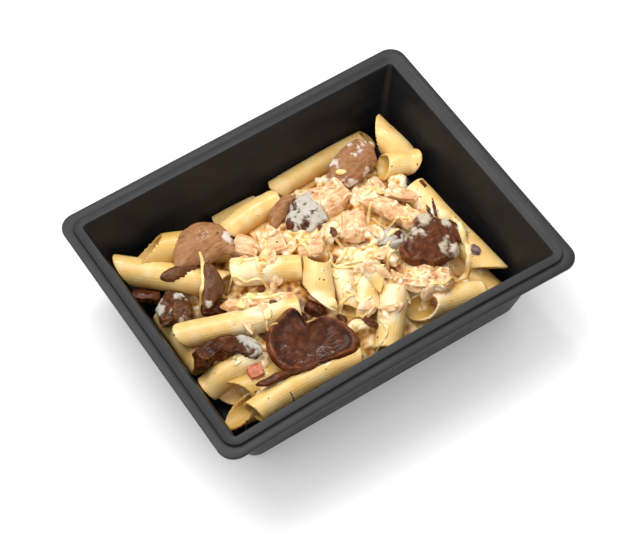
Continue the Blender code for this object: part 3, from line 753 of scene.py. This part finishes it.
# Each slice: its middle, its outline as radii at equal angles from +X round towards +Y, its
# thickness, its lean (rise per mm along X and Y), how far its middle stands up (down if negative),
# how far its rim rolls up, how deep its wrinkles and gills are, the sauce on it, and its finish.
SLICES = {
    "mushroom_front_cap": (
        (-25.7, -32.5, 24.4),
        (18.7, 17.2, 15.7, 14.3, 12.2, 10.2, 9.4, 12.0, 18.7, 19.0, 18.6, 18.5,
         18.8, 19.1, 19.2, 19.3, 19.4, 19.3, 19.1, 18.8, 18.2, 17.4, 16.6, 15.4,
         14.3, 13.4, 13.1, 13.4, 14.1, 15.6, 17.5, 20.0, 22.8, 23.2, 21.9, 20.1),
        4.6, (0.0, 0.1), -1.6, 2.0, 0.45, 0.3, 0.0, "dark",
    ),
    "mushroom_left_cap": (
        (-39.3, 37.4, 27.6),
        (13.7, 13.3, 12.4, 11.8, 11.6, 11.4, 11.1, 11.0, 11.5, 12.0, 12.9, 14.1,
         15.4, 16.2, 12.5, 10.3, 9.7, 10.2, 9.8, 10.1, 11.3, 15.0, 14.8, 13.8),
        4.4, (0.05, 0.12), 2.4, 0.2, 0.3, 0.15, 0.0, "brown",
    ),
    "mushroom_left_half": (
        (-46.6, 17.6, 25.0),
        (6.0, 6.3, 7.2, 8.9, 11.7, 11.7, 7.4, 5.6, 4.8, 4.4, 4.4, 4.6,
         5.3, 6.5, 9.4, 11.9, 10.5, 7.9, 7.0, 7.4, 6.9, 6.6, 5.9, 5.8),
        3.6, (0.0, 0.12), 1.2, 0.2, 0.4, 0.0, 0.0, "dusky",
    ),
    "mushroom_left_edge": (
        (-55.6, 31.6, 25.0),
        (7.6, 4.8, 3.7, 3.2, 3.0, 3.0, 3.3, 3.6, 4.1, 5.3, 7.2, 8.7,
         7.2, 5.8, 4.8, 3.9, 3.6, 3.4, 3.4, 3.7, 3.9, 4.3, 5.1, 9.6),
        3.8, (0.0, 0.1), 0.8, 0.3, 0.5, 0.0, 0.0, "dusky",
    ),
    # Its sauce and smears are painted highlight: pale film where the wet slice shines.
    "mushroom_left_curl": (
        (-65.1, 20.5, 17.0),
        (7.5, 7.4, 7.7, 8.5, 8.9, 9.0, 8.8, 8.5, 8.0, 7.7, 7.9, 7.8,
         8.4, 8.8, 9.2, 8.0, 7.6, 7.8, 8.2, 8.9, 8.9, 8.8, 8.3, 8.3),
        6.5, (0.0, 0.0), 1.5, 1.0, 1.7, 0.0, 0.4, "dusky",
    ),
    "mushroom_right_cap": (
        (49.6, -19.0, 25.2),
        (13.3, 14.1, 13.6, 13.3, 13.9, 14.7, 13.0, 10.8, 10.3, 11.0, 12.7, 14.8,
         15.7, 15.1, 13.2, 11.9, 12.8, 12.6, 12.0, 12.6, 13.7, 13.7, 13.0, 12.7),
        6.5, (0.0, 0.16), 1.0, 1.4, 0.6, 0.15, 0.0, "red",
    ),
    "mushroom_back_cap": (
        (45.2, 39.0, 24.4),
        (13.1, 14.6, 13.8, 13.2, 11.4, 9.5, 8.6, 8.4, 8.6, 9.4, 10.8, 11.7,
         13.4, 14.9, 14.2, 13.0, 10.9, 9.6, 8.7, 7.9, 8.1, 9.2, 11.0, 12.2),
        5.0, (0.0, 0.2), 2.0, 0.3, 0.45, 0.0, 0.36, "brown",
    ),
    "mushroom_back_red": (
        (3.8, 37.0, 20.5),
        (5.1, 9.6, 9.8, 8.3, 6.9, 5.6, 4.9, 4.5, 4.4, 4.6, 5.2, 5.7,
         7.0, 8.5, 10.2, 9.5, 6.6, 5.3, 4.7, 4.2, 4.0, 4.0, 4.0, 4.3),
        5.0, (0.0, 0.1), 1.2, 0.4, 0.5, 0.4, 0.0, "brown",
    ),
    "mushroom_middle": (
        (12.2, 27.2, 23.4),
        (9.9, 11.7, 12.1, 11.5, 10.4, 9.6, 9.7, 9.8, 9.0, 8.6, 8.4, 10.0,
         12.2, 12.2, 10.2, 9.8, 10.6, 10.4, 9.0, 10.0, 10.6, 9.9, 8.7, 8.6),
        5.5, (0.0, 0.1), 1.0, 0.6, 1.0, 0.0, 0.68, "dark",
    ),
}
# Gills round a slice
GILLS = 58


def radius_at(outline, angle):
    """The outline's radius at an angle, on a smooth curve through its values."""
    count = len(outline)
    step = angle / (2 * math.pi) * count
    first = math.floor(step)
    t = step - first
    a, b, c, d = (outline[(first + k) % count] for k in (-1, 0, 1, 2))
    return b + 0.5 * t * (c - a + t * (2 * a - 5 * b + 4 * c - d + t * (3 * (b - c) + d - a)))


def make_slice(seed, spot, outline, thick, lean, dome, roll, wrinkle, gills):
    """The bmesh of a mushroom slice and, for each vertex, its place in the slice's own frame."""
    bm = bmesh.new()
    bmesh.ops.create_uvsphere(bm, u_segments=108, v_segments=64, radius=1.0)
    own = []
    shift = Vector((3.7 * seed, 1.9 * seed, 0))
    for vert in bm.verts:
        out = math.hypot(vert.co.x, vert.co.y)
        angle = math.atan2(vert.co.y, vert.co.x)
        reach = radius_at(outline, angle) * out
        level = math.copysign(thick / 2 * math.sqrt(max(0.0, 1 - min(1.0, out) ** 5)), vert.co.z)
        co = Vector((reach * math.cos(angle), reach * math.sin(angle), level))
        own.append(tuple(co))
        upper = max(0.0, level / (thick / 2))
        comb = math.sin(GILLS * angle + 6 * noise.noise(co / 5 + shift))
        comb *= min(1.0, max(0.0, (out - 0.3) / 0.2))
        co.z += dome * (1 - out * out) + roll * math.exp(-(((out - 0.9) / 0.1) ** 2)) * (0.4 + 0.6 * upper)
        co.z += 0.3 * gills * comb * upper * (1 - out**8)
        co.z += lean[0] * co.x + lean[1] * co.y
        co += noise.noise_vector(co / 7.0 + shift) * 1.1 * wrinkle
        co += noise.noise_vector(co / 3.0 + shift) * 0.5 * wrinkle
        co += noise.noise_vector(co / 1.3 + shift) * 0.2 * wrinkle
        vert.co = co + Vector(spot)
    bmesh.ops.recalc_face_normals(bm, faces=bm.faces)
    return bm, own


# How much the grain changes a moist piece's tone
GRAIN_SHARE = 0.5


# Cooked mushroom or meat has a grain along its fibres and a wet skin. It is painted dark in its hollows
# and paler where it stands up, painted shade and light. Sauce smeared on it hides both.
def moist_finish(name, stops, fibre, gloss, hollow_shade_share, weight, film_tone, relief_depth):
    """A wet finish. Fibre is the grain's turns per millimetre along, across and up in the piece."""
    material, tree, shader = new_finish(
        name,
        stops[1][1],
        gloss,
        IOR=1.42,
        Specular_IOR_Level=0.1,
        Subsurface_Weight=weight,
        Subsurface_Radius=(1.0, 0.6, 0.4),
        Subsurface_Scale=0.0015,
        Coat_Weight=0.3,
        Coat_IOR=1.33,
        Coat_Roughness=0.05,
    )
    own = add_node(tree, "ShaderNodeAttribute", {"attribute_name": "own"}).outputs["Vector"]
    level = 0.5 - 0.5 * hollow_shade_share - 0.5 * GRAIN_SHARE
    # Painted shade and light: darker in the hollows, paler where the piece stands up.
    mixed = scaled(tree, point_value(tree, "hollow_shade"), hollow_shade_share, level)
    mixed = scaled(tree, grain_at(tree, own, fibre, 5.0), GRAIN_SHARE, mixed)
    skin = blend(tree, point_value(tree, "film"), tone_at(tree, mixed, stops), linear(film_tone))
    tree.links.new(skin, shader.inputs["Base Color"])
    fine = tuple(2.4 * turns for turns in fibre)
    set_relief(tree, shader, grain_at(tree, own, fine, 4.0), 0.4, relief_depth)
    return material


# Fried mushroom: dark on the browned caps, dusky and red where it is less browned, brown on the pale
# caps, and violet on thin edges. The sauce that has run over it is grey; on the curled slice at the
# left the same grey film is painted highlight, where the wet slice shines.
GREY_SAUCE_AND_HIGHLIGHT = "#BCB5A8"
MUSHROOM_FINISHES = {
    "dark": moist_finish(
        "dark_fried_mushroom",
        [(0.22, "#8A4E2C"), (0.45, "#542A12"), (0.6, "#3A1A09"), (0.85, "#1A0B04")],
        (0.32, 0.32, 0.32), 0.2, 0.8, 0.0, GREY_SAUCE_AND_HIGHLIGHT, 0.0005,
    ),
    "dusky": moist_finish(
        "dusky_mushroom",
        [(0.25, "#84583A"), (0.5, "#5E381E"), (0.8, "#34200E")],
        (0.32, 0.32, 0.32), 0.3, 0.8, 0.08, GREY_SAUCE_AND_HIGHLIGHT, 0.0005,
    ),
    "brown": moist_finish(
        "brown_mushroom",
        [(0.3, "#BE8C66"), (0.47, "#A07048"), (0.6, "#845636"), (0.85, "#50301C")],
        (0.22, 1.2, 0.7), 0.3, 0.9, 0.1, "#D8C8BC", 0.0006,
    ),
    "red": moist_finish(
        "reddish_mushroom",
        [(0.2, "#8E5230"), (0.45, "#5E2F14"), (0.62, "#40200C"), (0.85, "#200E05")],
        (0.3, 0.5, 0.4), 0.26, 0.9, 0.1, "#C2B49E", 0.0006,
    ),
    "violet": moist_finish(
        "violet_mushroom",
        [(0.25, "#9A8480"), (0.5, "#6E5450"), (0.8, "#42302C")],
        (0.4, 0.8, 0.5), 0.3, 0.6, 0.1, GREY_SAUCE_AND_HIGHLIGHT, 0.0004,
    ),
}
# The noise that moves points is seeded, so that each run gives the same shapes.
noise.seed_set(5)

# Smears of sauce that show on a topping, as (x, y, reach). Those on the curled slice at the left are painted
# highlight: pale film where the wet slice shines.
SAUCE_SMEARS_AND_HIGHLIGHTS = {
    "mushroom_front_cap": ((-24, -24, 1.6), (-28, -48, 3.6), (-24, -38, 0.8)),
    "mushroom_left_cap": ((-27, 33, 2.6),),
    "mushroom_left_half": ((-52, 9, 2.2),),
    "mushroom_left_curl": ((-62, 24, 2.6), (-68, 18, 1.6)),
    "mushroom_right_cap": ((47, -12, 4.6), (53, -8, 4.0), (57, -27, 4.2), (62, -15, 3.0)),
    "mushroom_crescent": ((-46, -20, 5.5), (-42, -17, 4.5), (-50, -14, 2.0)),
}


def smear_sauce_and_highlight(bm, own, seed, amount, spots):
    """Lays sauce over part of a topping, which on the curled slice at the left is painted highlight. It
    returns how thick it lies at each vertex, from 0 to 1.
    """
    bm.normal_update()
    shift = Vector((seed * 5.1, seed * 2.3, 7.0))
    films = []
    for vert, place in zip(bm.verts, own):
        place = Vector(place)
        patch = noise.noise(place / 5.5 + shift) + 0.5 * noise.noise(place / 2.0 + shift)
        patch += 0.25 * noise.noise(place)
        film = min(1.0, max(0.0, (patch + 1.5 * amount - 0.62) / 0.3)) if amount else 0.0
        for x, y, reach in spots:
            near = 1 + 1.3 * patch - math.hypot(vert.co.x - x, vert.co.y - y) / reach
            film = max(film, min(1.0, max(0.0, near / 0.6)))
        film *= min(1.0, max(0.0, vert.normal.z * 2 + 0.4))
        films.append(film)
    for vert, film in zip(bm.verts, films):
        vert.co += vert.normal * FILM_LIFT * film
    return films


def moist_piece(name, bm, own, finish, rounds):
    """An object of a bmesh, with the places and the hollow depths that a moist finish reads, the latter for
    its painted shade.
    """
    piece = mesh_piece(name, bm, finish)
    places = piece.data.attributes.new("own", "FLOAT_VECTOR", "POINT")
    places.data.foreach_set("vector", np.array(own, np.float32).ravel())
    store(piece, "hollow_shade", hollow_of(piece, rounds))
    return piece


topping_pieces = []


def add_topping(node, bm, own, films, finish):
    """Makes a topping's object in the place of its node."""
    piece = moist_piece(node + "_piece", bm, own, finish, 8)
    store(piece, "film", films)
    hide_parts(node)
    topping_pieces.append(piece)


for seed, (node, values) in enumerate(SLICES.items()):
    spot, outline, thick, lean, dome, roll, wrinkle, gills, amount, finish = values
    slice_bm, own = make_slice(seed, spot, outline, thick, lean, dome, roll, wrinkle, gills)
    films = smear_sauce_and_highlight(slice_bm, own, seed, amount, SAUCE_SMEARS_AND_HIGHLIGHTS.get(node, ()))
    add_topping(node, slice_bm, own, films, MUSHROOM_FINISHES[finish])

# Mushroom strips and chicken
# Narrow cuts of mushroom, and strips and dice of cooked chicken with a cube of ham. Each is a
# soft-edged block that is bent, curled and frayed, and lies where its node does.

# Each block: its size along, across and up, its middle, its turn as (heading, tilt, roll), how soft
# its edges are, the cuts along each of its edges, its bend up and curl sideways in degrees, how deep
# its lumps and wrinkles are, the sauce on it, and its finish.
BLOCKS = {
    "mushroom_left_fold": (
        (14, 6.0, 5.0), (-72, 34, 16.8), (-46, 0, 0), 0.6, 22, -30, 0, 0.9, 0.8, 0.0, "red",
    ),
    "mushroom_left_dark": (
        (13, 8, 6.0), (-50, 10.5, 17.0), (-35, 0, 0), 0.6, 22, 0, 0, 1.2, 0.6, 0.0, "dark",
    ),
    "mushroom_crescent": (
        (34, 9.5, 8.0), (-57, -12, 20.5), (-22, 0, 0), 0.6, 44, 0, -100, 2.2, 1.0, 0.0, "dark",
    ),
    "mushroom_front_strip": (
        (34, 4.4, 3.2), (-41, -41.2, 24.4), (-9, 0, 0), 0.55, 34, -10, 15, 1.3, 0.9, 0.0, "red",
    ),
    "mushroom_right_chip": (
        (15, 9, 6.0), (62, -19, 25.2), (-66, 0, 10), 0.6, 24, 0, 20, 0.9, 0.7, 0.35, "red",
    ),
    "mushroom_sauced": ((14, 10, 6.0), (36, -5, 22.0), (-20, 0, 0), 0.6, 24, -20, 0, 1.0, 1.0, 0.55, "dark"),
    "mushroom_bit": ((10, 6.5, 5.0), (-12, -16, 19.0), (-60, 0, 0), 0.6, 18, 0, 0, 0.8, 0.8, 0.2, "dark"),
    "chicken_long": ((36, 9.5, 6.5), (44, 7, 26.0), (-63, 0, 0), 0.5, 40, -25, 0, 1.3, 0.6, 0.3, "chicken"),
    "chicken_roll": ((21, 12, 5.0), (26, 9, 27.5), (-121, 0, 0), 0.5, 36, -150, 0, 0.9, 0.5, 0.25, "chicken"),
    "chicken_back": ((17, 14, 8.0), (26, 28, 24.0), (10, 0, 0), 0.4, 28, -20, 0, 1.3, 0.5, 0.3, "chicken"),
    "chicken_cube": ((12, 12, 10.0), (-11, 22, 23.0), (-14, 0, 8), 0.22, 24, 0, 0, 0.7, 0.3, 0.1, "chicken"),
    "chicken_left": ((14, 11, 8.0), (-21, 28, 21.0), (-50, 0, 0), 0.4, 24, 0, 0, 1.0, 0.4, 0.1, "chicken"),
    "chicken_pale": ((18, 6, 4.5), (54, 10, 25.5), (-43, 0, 0), 0.55, 24, 0, 10, 0.8, 0.4, 0.25, "chicken"),
    "chicken_right": (
        (24, 15, 8.0), (39, -32, 21.0), (-45, 0, 0), 0.55, 32, -20, 0, 2.0, 0.8, 0.25, "chicken",
    ),
    "chicken_front": ((38, 6, 6), (-31, -1, 22.0), (-25, 2, 0), 0.55, 36, -15, 0, 1.0, 0.6, 0.15, "chicken"),
    "chicken_middle": ((12, 10, 7.0), (2, 8, 27.0), (-30, 0, 0), 0.55, 24, 0, 0, 1.4, 0.5, 0.25, "chicken"),
    "ham_cube": ((8, 7, 6.5), (-52, -29, 17.5), (-10, 0, 0), 0.45, 16, 0, 0, 0.6, 0.5, 0.0, "ham"),
}


def make_block(seed, size, spot, turn, soft, cuts, bend, curl, lumps, wrinkle):
    """The bmesh of a block and, for each vertex, its place in the block's own frame."""
    bm = bmesh.new()
    bmesh.ops.create_cube(bm, size=2.0)
    bmesh.ops.subdivide_edges(bm, edges=bm.edges, cuts=cuts, use_grid_fill=True)
    heading, tilt, roll = (math.radians(value) for value in turn)
    spin = Matrix.Rotation(heading, 4, "Z") @ Matrix.Rotation(tilt, 4, "Y") @ Matrix.Rotation(roll, 4, "X")
    half = Vector(size) / 2
    shift = Vector((seed * 4.3, seed * 2.9, 0))
    own = []
    for vert in bm.verts:
        co = vert.co.lerp(vert.co.normalized(), soft)
        co = Vector((co.x * half.x, co.y * half.y, co.z * half.z))
        own.append(tuple(co))
        fibre = noise.noise(Vector((co.x / 9, co.y / 1.6, co.z / 1.6)) + shift)
        co += noise.noise_vector(co / 7.0 + shift) * lumps
        co += noise.noise_vector(co / 3.0 + shift) * 0.5 * wrinkle
        co += noise.noise_vector(co / 1.4 + shift) * 0.2 * wrinkle
        co.yz *= 1 + 0.14 * wrinkle * fibre
        for angle, upward in ((bend, True), (curl, False)):
            if angle:
                radius = size[0] / math.radians(angle)
                share = co.x / radius
                side = co.z if upward else co.y
                x = (radius - side) * math.sin(share)
                side = radius - (radius - side) * math.cos(share)
                co = Vector((x, co.y, side)) if upward else Vector((x, side, co.z))
        vert.co = co
    bmesh.ops.transform(bm, matrix=Matrix.Translation(spot) @ spin, verts=bm.verts)
    bmesh.ops.recalc_face_normals(bm, faces=bm.faces)
    return bm, own


# Cooked chicken is cream to light brown along its fibres, and ham a wet pink brown; both are painted darker
# in their hollows, painted shade.
BLOCK_FINISHES = {
    **MUSHROOM_FINISHES,
    "chicken": moist_finish(
        "cooked_chicken",
        [(0.2, "#F9E6CA"), (0.41, "#EAC698"), (0.56, "#CE9664"), (0.78, "#8C5030")],
        (0.14, 0.32, 0.32), 0.32, 1.0, 0.12, "#F6E2BC", 0.0003,
    ),
    "ham": moist_finish(
        "cooked_ham",
        [(0.25, "#E2A184"), (0.5, "#BF6E4C"), (0.8, "#8E4429")],
        (0.5, 0.5, 0.5), 0.22, 0.8, 0.5, "#EBD3BC", 0.0004,
    ),
}
for seed, (node, values) in enumerate(BLOCKS.items()):
    *shape, amount, finish = values
    block_bm, own = make_block(seed, *shape)
    films = smear_sauce_and_highlight(block_bm, own, seed, amount, SAUCE_SMEARS_AND_HIGHLIGHTS.get(node, ()))
    add_topping(node, block_bm, own, films, BLOCK_FINISHES[finish])

# Scraps
# Shreds of chicken and melted curds of cheese that lie about in the sauce. They are dropped on the
# heap from above and sink a little way in.

SCRAP_FIELD = (58.0, 46.0)
CURDS = 55
CHICKEN_SCRAPS = 42
# Small cuts of mushroom, as (one end, other end, width, finish)
MUSHROOM_SCRAPS = (
    ((65, 12), (64.6, 7), 2.6, "red"),
    ((1, -31), (7, -39), 3.4, "red"),
    ((18, -46), (18, -52), 3.0, "red"),
    ((61, 1), (58, -8), 1.8, "dark"),
    ((64, 0), (60, -9), 1.6, "dark"),
    ((-40, -9), (-38, -17), 2.2, "dusky"),
    ((65, -29), (66, -36), 4.0, "violet"),
    ((-4, -22), (-3, -28), 3.2, "dusky"),
    ((-18, -13), (-18, -18), 3.0, "dusky"),
    ((37, 28), (39, 24), 2.2, "red"),
    ((14, 12), (15, 7), 3.4, "dusky"),
    ((12, 18), (12, 12), 2.6, "dusky"),
    ((-29, -4), (-26, -8), 2.4, "dusky"),
)


def landing_tree(objects):
    """What is dropped on the heap from above lands on this. It comes with each face's owner."""
    whole = bmesh.new()
    owners = []
    for obj in objects:
        whole.from_mesh(obj.data)
        owners += [obj.name] * len(obj.data.polygons)
    tree = BVHTree.FromBMesh(whole)
    whole.free()
    return tree, owners


def landing(x, y):
    """Where something dropped at x, y in millimetres comes to rest, the normal there and its owner."""
    spot, normal, face, _ = heap_top.ray_cast(Vector((x, y, 80)) / 1000, Vector((0, 0, -1)))
    return (spot * 1000, normal, heap_owners[face]) if spot else (None, None, "")


def add_scrap(bm, place, seed, rough):
    """Adds a lumpy ball, one millimetre across before it is placed, to a bmesh."""
    ball = bmesh.new()
    bmesh.ops.create_icosphere(ball, subdivisions=4, radius=0.5)
    shift = Vector((seed * 1.7, seed * 0.9, seed * 0.4))
    for vert in ball.verts:
        lump = noise.noise(vert.co * 1.8 + shift) + 0.2 * noise.noise(vert.co * 5 + shift)
        vert.co *= 1 + rough * lump
    bmesh.ops.transform(ball, matrix=place, verts=ball.verts)
    join_in(bm, ball)


heap_top, heap_owners = landing_tree([*penne_pieces, sauce, *topping_pieces])
random.seed(11)
# Melted cheese: pale yellow, deeper in patches of about 5 mm, with a wet gloss.
curd_finish, tree, shader = new_finish(
    "melted_cheese",
    "#F3CE7C",
    0.3,
    IOR=1.45,
    Subsurface_Weight=0.15,
    Subsurface_Radius=(1.0, 0.75, 0.5),
    Subsurface_Scale=0.002,
    Coat_Weight=0.4,
    Coat_Roughness=0.12,
)
place = add_node(tree, "ShaderNodeTexCoord").outputs["Object"]
patch = grain_at(tree, place, 220.0, 3.0)
tones = tone_at(tree, patch, [(0.3, "#F9E4B6"), (0.5, "#F4D28C"), (0.72, "#E8B860")])
tree.links.new(tones, shader.inputs["Base Color"])

for name, count, size_range, rough, finish in (
    ("cheese_curds", CURDS, (2.4, 6.5), 0.5, curd_finish),
    ("chicken_scraps", CHICKEN_SCRAPS, (5.0, 11.0), 0.6, BLOCK_FINISHES["chicken"]),
):
    scrap_bm = bmesh.new()
    made = 0
    while made < count:
        x = random.uniform(-SCRAP_FIELD[0], SCRAP_FIELD[0])
        y = random.uniform(-SCRAP_FIELD[1], SCRAP_FIELD[1])
        spot, aim, owner = landing(x, y)
        if spot is None or spot.z < 12 or aim.z < 0.4 or cover_at(spot) < 0.32:
            continue
        if "mushroom" in owner or "ham" in owner:
            continue
        made += 1
        long = random.uniform(*size_range)
        size = (long, long * random.uniform(0.4, 0.75), long * random.uniform(0.25, 0.45))
        spin = aim.to_track_quat("Z", "X").to_matrix().to_4x4() @ Matrix.Rotation(made * 2.4, 4, "Z")
        place = Matrix.Translation(spot - aim * 0.12 * size[2]) @ spin @ Matrix.Diagonal((*size, 1.0))
        add_scrap(scrap_bm, place, made, rough)
    bmesh.ops.recalc_face_normals(scrap_bm, faces=scrap_bm.faces)
    own = [tuple(vert.co) for vert in scrap_bm.verts]
    piece = moist_piece(name, scrap_bm, own, finish, 6)

for tone in ("red", "dark", "dusky", "violet"):
    scrap_bm = bmesh.new()
    for number, (start, end, width, finish) in enumerate(MUSHROOM_SCRAPS):
        if finish != tone:
            continue
        start, end = Vector((*start, 0)), Vector((*end, 0))
        middle = (start + end) / 2
        spot, _, _ = landing(middle.x, middle.y)
        size = ((end - start).length, width, 0.7 * width)
        heading = math.atan2(end.y - start.y, end.x - start.x)
        spot = spot or Vector((middle.x, middle.y, SAUCE_EDGE))
        place = Matrix.Translation(spot) @ Matrix.Rotation(heading, 4, "Z")
        add_scrap(scrap_bm, place @ Matrix.Diagonal((*size, 1.0)), number, 0.6)
    bmesh.ops.recalc_face_normals(scrap_bm, faces=scrap_bm.faces)
    own = [tuple(vert.co) for vert in scrap_bm.verts]
    piece = moist_piece("mushroom_scraps_" + tone, scrap_bm, own, MUSHROOM_FINISHES[tone], 6)

# Cheese shreds
# Grated cheese, half melted into threads that drape over what they fell on.

# Each shred that shows: its points from above, and its width.
SHREDS = (
    (((-43, 33), (-44, 29), (-47, 24), (-50, 19), (-54, 15), (-58, 13)), 2.1),
    (((-40, 16), (-35, 15), (-32, 11), (-27, 9), (-24, 5), (-28, 4), (-33, 6), (-36, 11)), 2.0),
    (((-40, 11), (-37, 8), (-33, 5), (-30, 1), (-24, 0), (-21, -4)), 1.9),
    (((10, 8), (14, 8), (16, 4), (15, -1), (11, -3), (8, -3), (4, -6), (4, -11)), 2.0),
    (((5, -2), (8, -7), (13, -9), (14, -14), (10, -17), (5, -16)), 1.9),
    (((66, -13), (66, -19), (64, -25), (63, -31), (59, -36), (54, -37), (51, -34), (49, -32)), 3.0),
    (((40, -40), (45, -40), (50, -38), (55, -37)), 2.0),
    (((32, -23), (35, -26), (37, -30), (40, -30)), 2.2),
    (((35, 38), (37, 36), (39, 35)), 2.9),
    (((42, 26), (44, 21), (47, 17), (49, 13)), 1.7),
    (((-7, 13), (-3, 13), (-1, 9), (-1, 4)), 2.0),
    (((9, -38), (9, -44), (5, -47), (0, -48)), 1.8),
    (((37, 10), (38, 5), (41, 1), (45, -1)), 1.8),
    (((3, -18), (6, -21), (7, -26), (12, -27)), 2.0),
    (((-39, 9), (-32, 8), (-25, 3), (-19, 1)), 2.2),
    (((-39, 5), (-32, 0), (-25, -3), (-20, -2)), 2.0),
    (((-34, 23), (-30, 23), (-27, 19), (-22, 17)), 2.0),
)
LOOSE_SHREDS = 9
SHRED_SIDES = 8
SHRED_STEP = 0.7


def curve_through(points, step):
    """Points at about equal steps along a smooth curve through the given ones."""
    points = [Vector(point) for point in points]
    line = []
    for i in range(len(points) - 1):
        a, b = points[max(0, i - 1)], points[i]
        c, d = points[i + 1], points[min(len(points) - 1, i + 2)]
        count = max(1, round((c - b).length / step))
        for k in range(count):
            t = k / count
            line.append(b + 0.5 * t * (c - a + t * (2 * a - 5 * b + 4 * c - d + t * (3 * (b - c) + d - a))))
    return [*line, points[-1]]


def add_shred(bm, path, width):
    """Adds a soft flattened thread along a path, thinner at its ends, to a bmesh."""
    thread = bmesh.new()
    ring = bmesh.ops.create_circle(thread, cap_ends=True, segments=SHRED_SIDES, radius=0.1)["verts"]
    for i, spot in enumerate(path):
        if i:
            edges = [e for e in {e for v in ring for e in v.link_edges} if all(v in ring for v in e.verts)]
            made = set(bmesh.ops.extrude_edge_only(thread, edges=edges)["geom"])
            ring = [next(e.other_vert(v) for e in v.link_edges if e.other_vert(v) in made) for v in ring]
        along = (path[min(i + 1, len(path) - 1)] - path[max(i - 1, 0)]).normalized()
        side = along.cross(Vector((0, 0, 1))).normalized()
        up = side.cross(along)
        share = i / (len(path) - 1)
        swell = 1 + 0.5 * noise.noise(spot / 3.0)
        half = width / 2 * swell * (math.sin(math.pi * min(1, max(0, 0.06 + 0.88 * share))) ** 0.35)
        for k, vert in enumerate(ring):
            angle = 2 * math.pi * k / SHRED_SIDES
            vert.co = spot + side * half * math.cos(angle) + up * 0.5 * half * math.sin(angle)
    bmesh.ops.contextual_create(thread, geom=ring)
    join_in(bm, thread)


shred_bm = bmesh.new()
paths = list(SHREDS)
while len(paths) < len(SHREDS) + LOOSE_SHREDS:
    spot = Vector((random.uniform(-34, 56), random.uniform(-40, 34), 0))
    ground, _, _ = landing(spot.x, spot.y)
    if ground is None or cover_at(ground) < 0.45:
        continue
    heading = random.uniform(0, 2 * math.pi)
    turn_rate = random.uniform(-0.5, 0.5)
    points = [spot.xy.copy()]
    for _ in range(random.randint(3, 6)):
        heading += turn_rate + random.uniform(-0.3, 0.3)
        spot = spot + Vector((math.cos(heading), math.sin(heading), 0)) * 2.6
        points.append(spot.xy.copy())
    paths.append((points, random.uniform(1.4, 2.2)))
for points, width in paths:
    line = curve_through(points, SHRED_STEP)
    heights = []
    for point in line:
        ground, _, _ = landing(point.x, point.y)
        heights.append((ground.z if ground else 20.0) + 0.06 * width)
    # A thread is stiff enough to bridge narrow gaps between high points.
    for _ in range(4):
        for i in range(1, len(heights) - 1):
            heights[i] = max(heights[i], 0.5 * (heights[i - 1] + heights[i + 1]) - 0.1)
    add_shred(shred_bm, [Vector((p.x, p.y, z)) for p, z in zip(line, heights)], width)
bmesh.ops.recalc_face_normals(shred_bm, faces=shred_bm.faces)
shreds = mesh_piece("cheese_shreds", shred_bm, curd_finish)

# Herbs and threads
# Dried herb and coarse pepper, stirred through the sauce: small dark flakes all over, and a few
# dark threads in the herb's finish on the penne in front. The one at the front left corner is painted
# shade: a dark line where two penne leave a shaded crack.

FLECKS = 190
# Dried leaf: dark brown and matt. A flake is smaller than a pixel, so it needs no pattern.
fleck_finish, _, _ = new_finish("dried_herb", "#3B2C16", 0.6)
fleck_bm = bmesh.new()
made = 0
while made < FLECKS:
    spot, aim, _ = landing(random.uniform(-74, 74), random.uniform(-54, 56))
    if spot is None or spot.z < 7 or aim.z < 0.2:
        continue
    made += 1
    long = random.choice((0.25, 0.3, 0.35, 0.45, 0.8))
    verts = bmesh.ops.create_icosphere(fleck_bm, subdivisions=1, radius=0.5)["verts"]
    spin = aim.to_track_quat("Z", "X").to_matrix().to_4x4() @ Matrix.Rotation(made * 2.4, 4, "Z")
    size = Matrix.Diagonal((long * 1.5, long, 0.3, 1.0))
    bmesh.ops.transform(fleck_bm, matrix=Matrix.Translation(spot + aim * 0.05) @ spin @ size, verts=verts)
bmesh.ops.recalc_face_normals(fleck_bm, faces=fleck_bm.faces)
flecks = mesh_piece("herb_flecks", fleck_bm, fleck_finish)

# Each thread: its points from above, and its width.
DARK_THREADS = (
    (((-46.1, -48.5), (-45.7, -53.6)), 0.8),
    # Painted shade: this thread stands where two penne leave a shaded crack.
    (((-64.7, -42.5), (-67.6, -45.4), (-70.6, -47.5)), 0.7),
    (((-55.9, -36.1), (-59.7, -37.8)), 0.8),
)
dark_thread_bm = bmesh.new()
for points, width in DARK_THREADS:
    line = curve_through(points, SHRED_STEP)
    lie = []
    for point in line:
        ground, _, _ = landing(point.x, point.y)
        lie.append(Vector((point.x, point.y, (ground.z if ground else SAUCE_EDGE) + 0.4)))
    add_shred(dark_thread_bm, lie, width)
bmesh.ops.recalc_face_normals(dark_thread_bm, faces=dark_thread_bm.faces)
dark_threads_piece = mesh_piece("dark_threads_and_crack_shade", dark_thread_bm, fleck_finish)
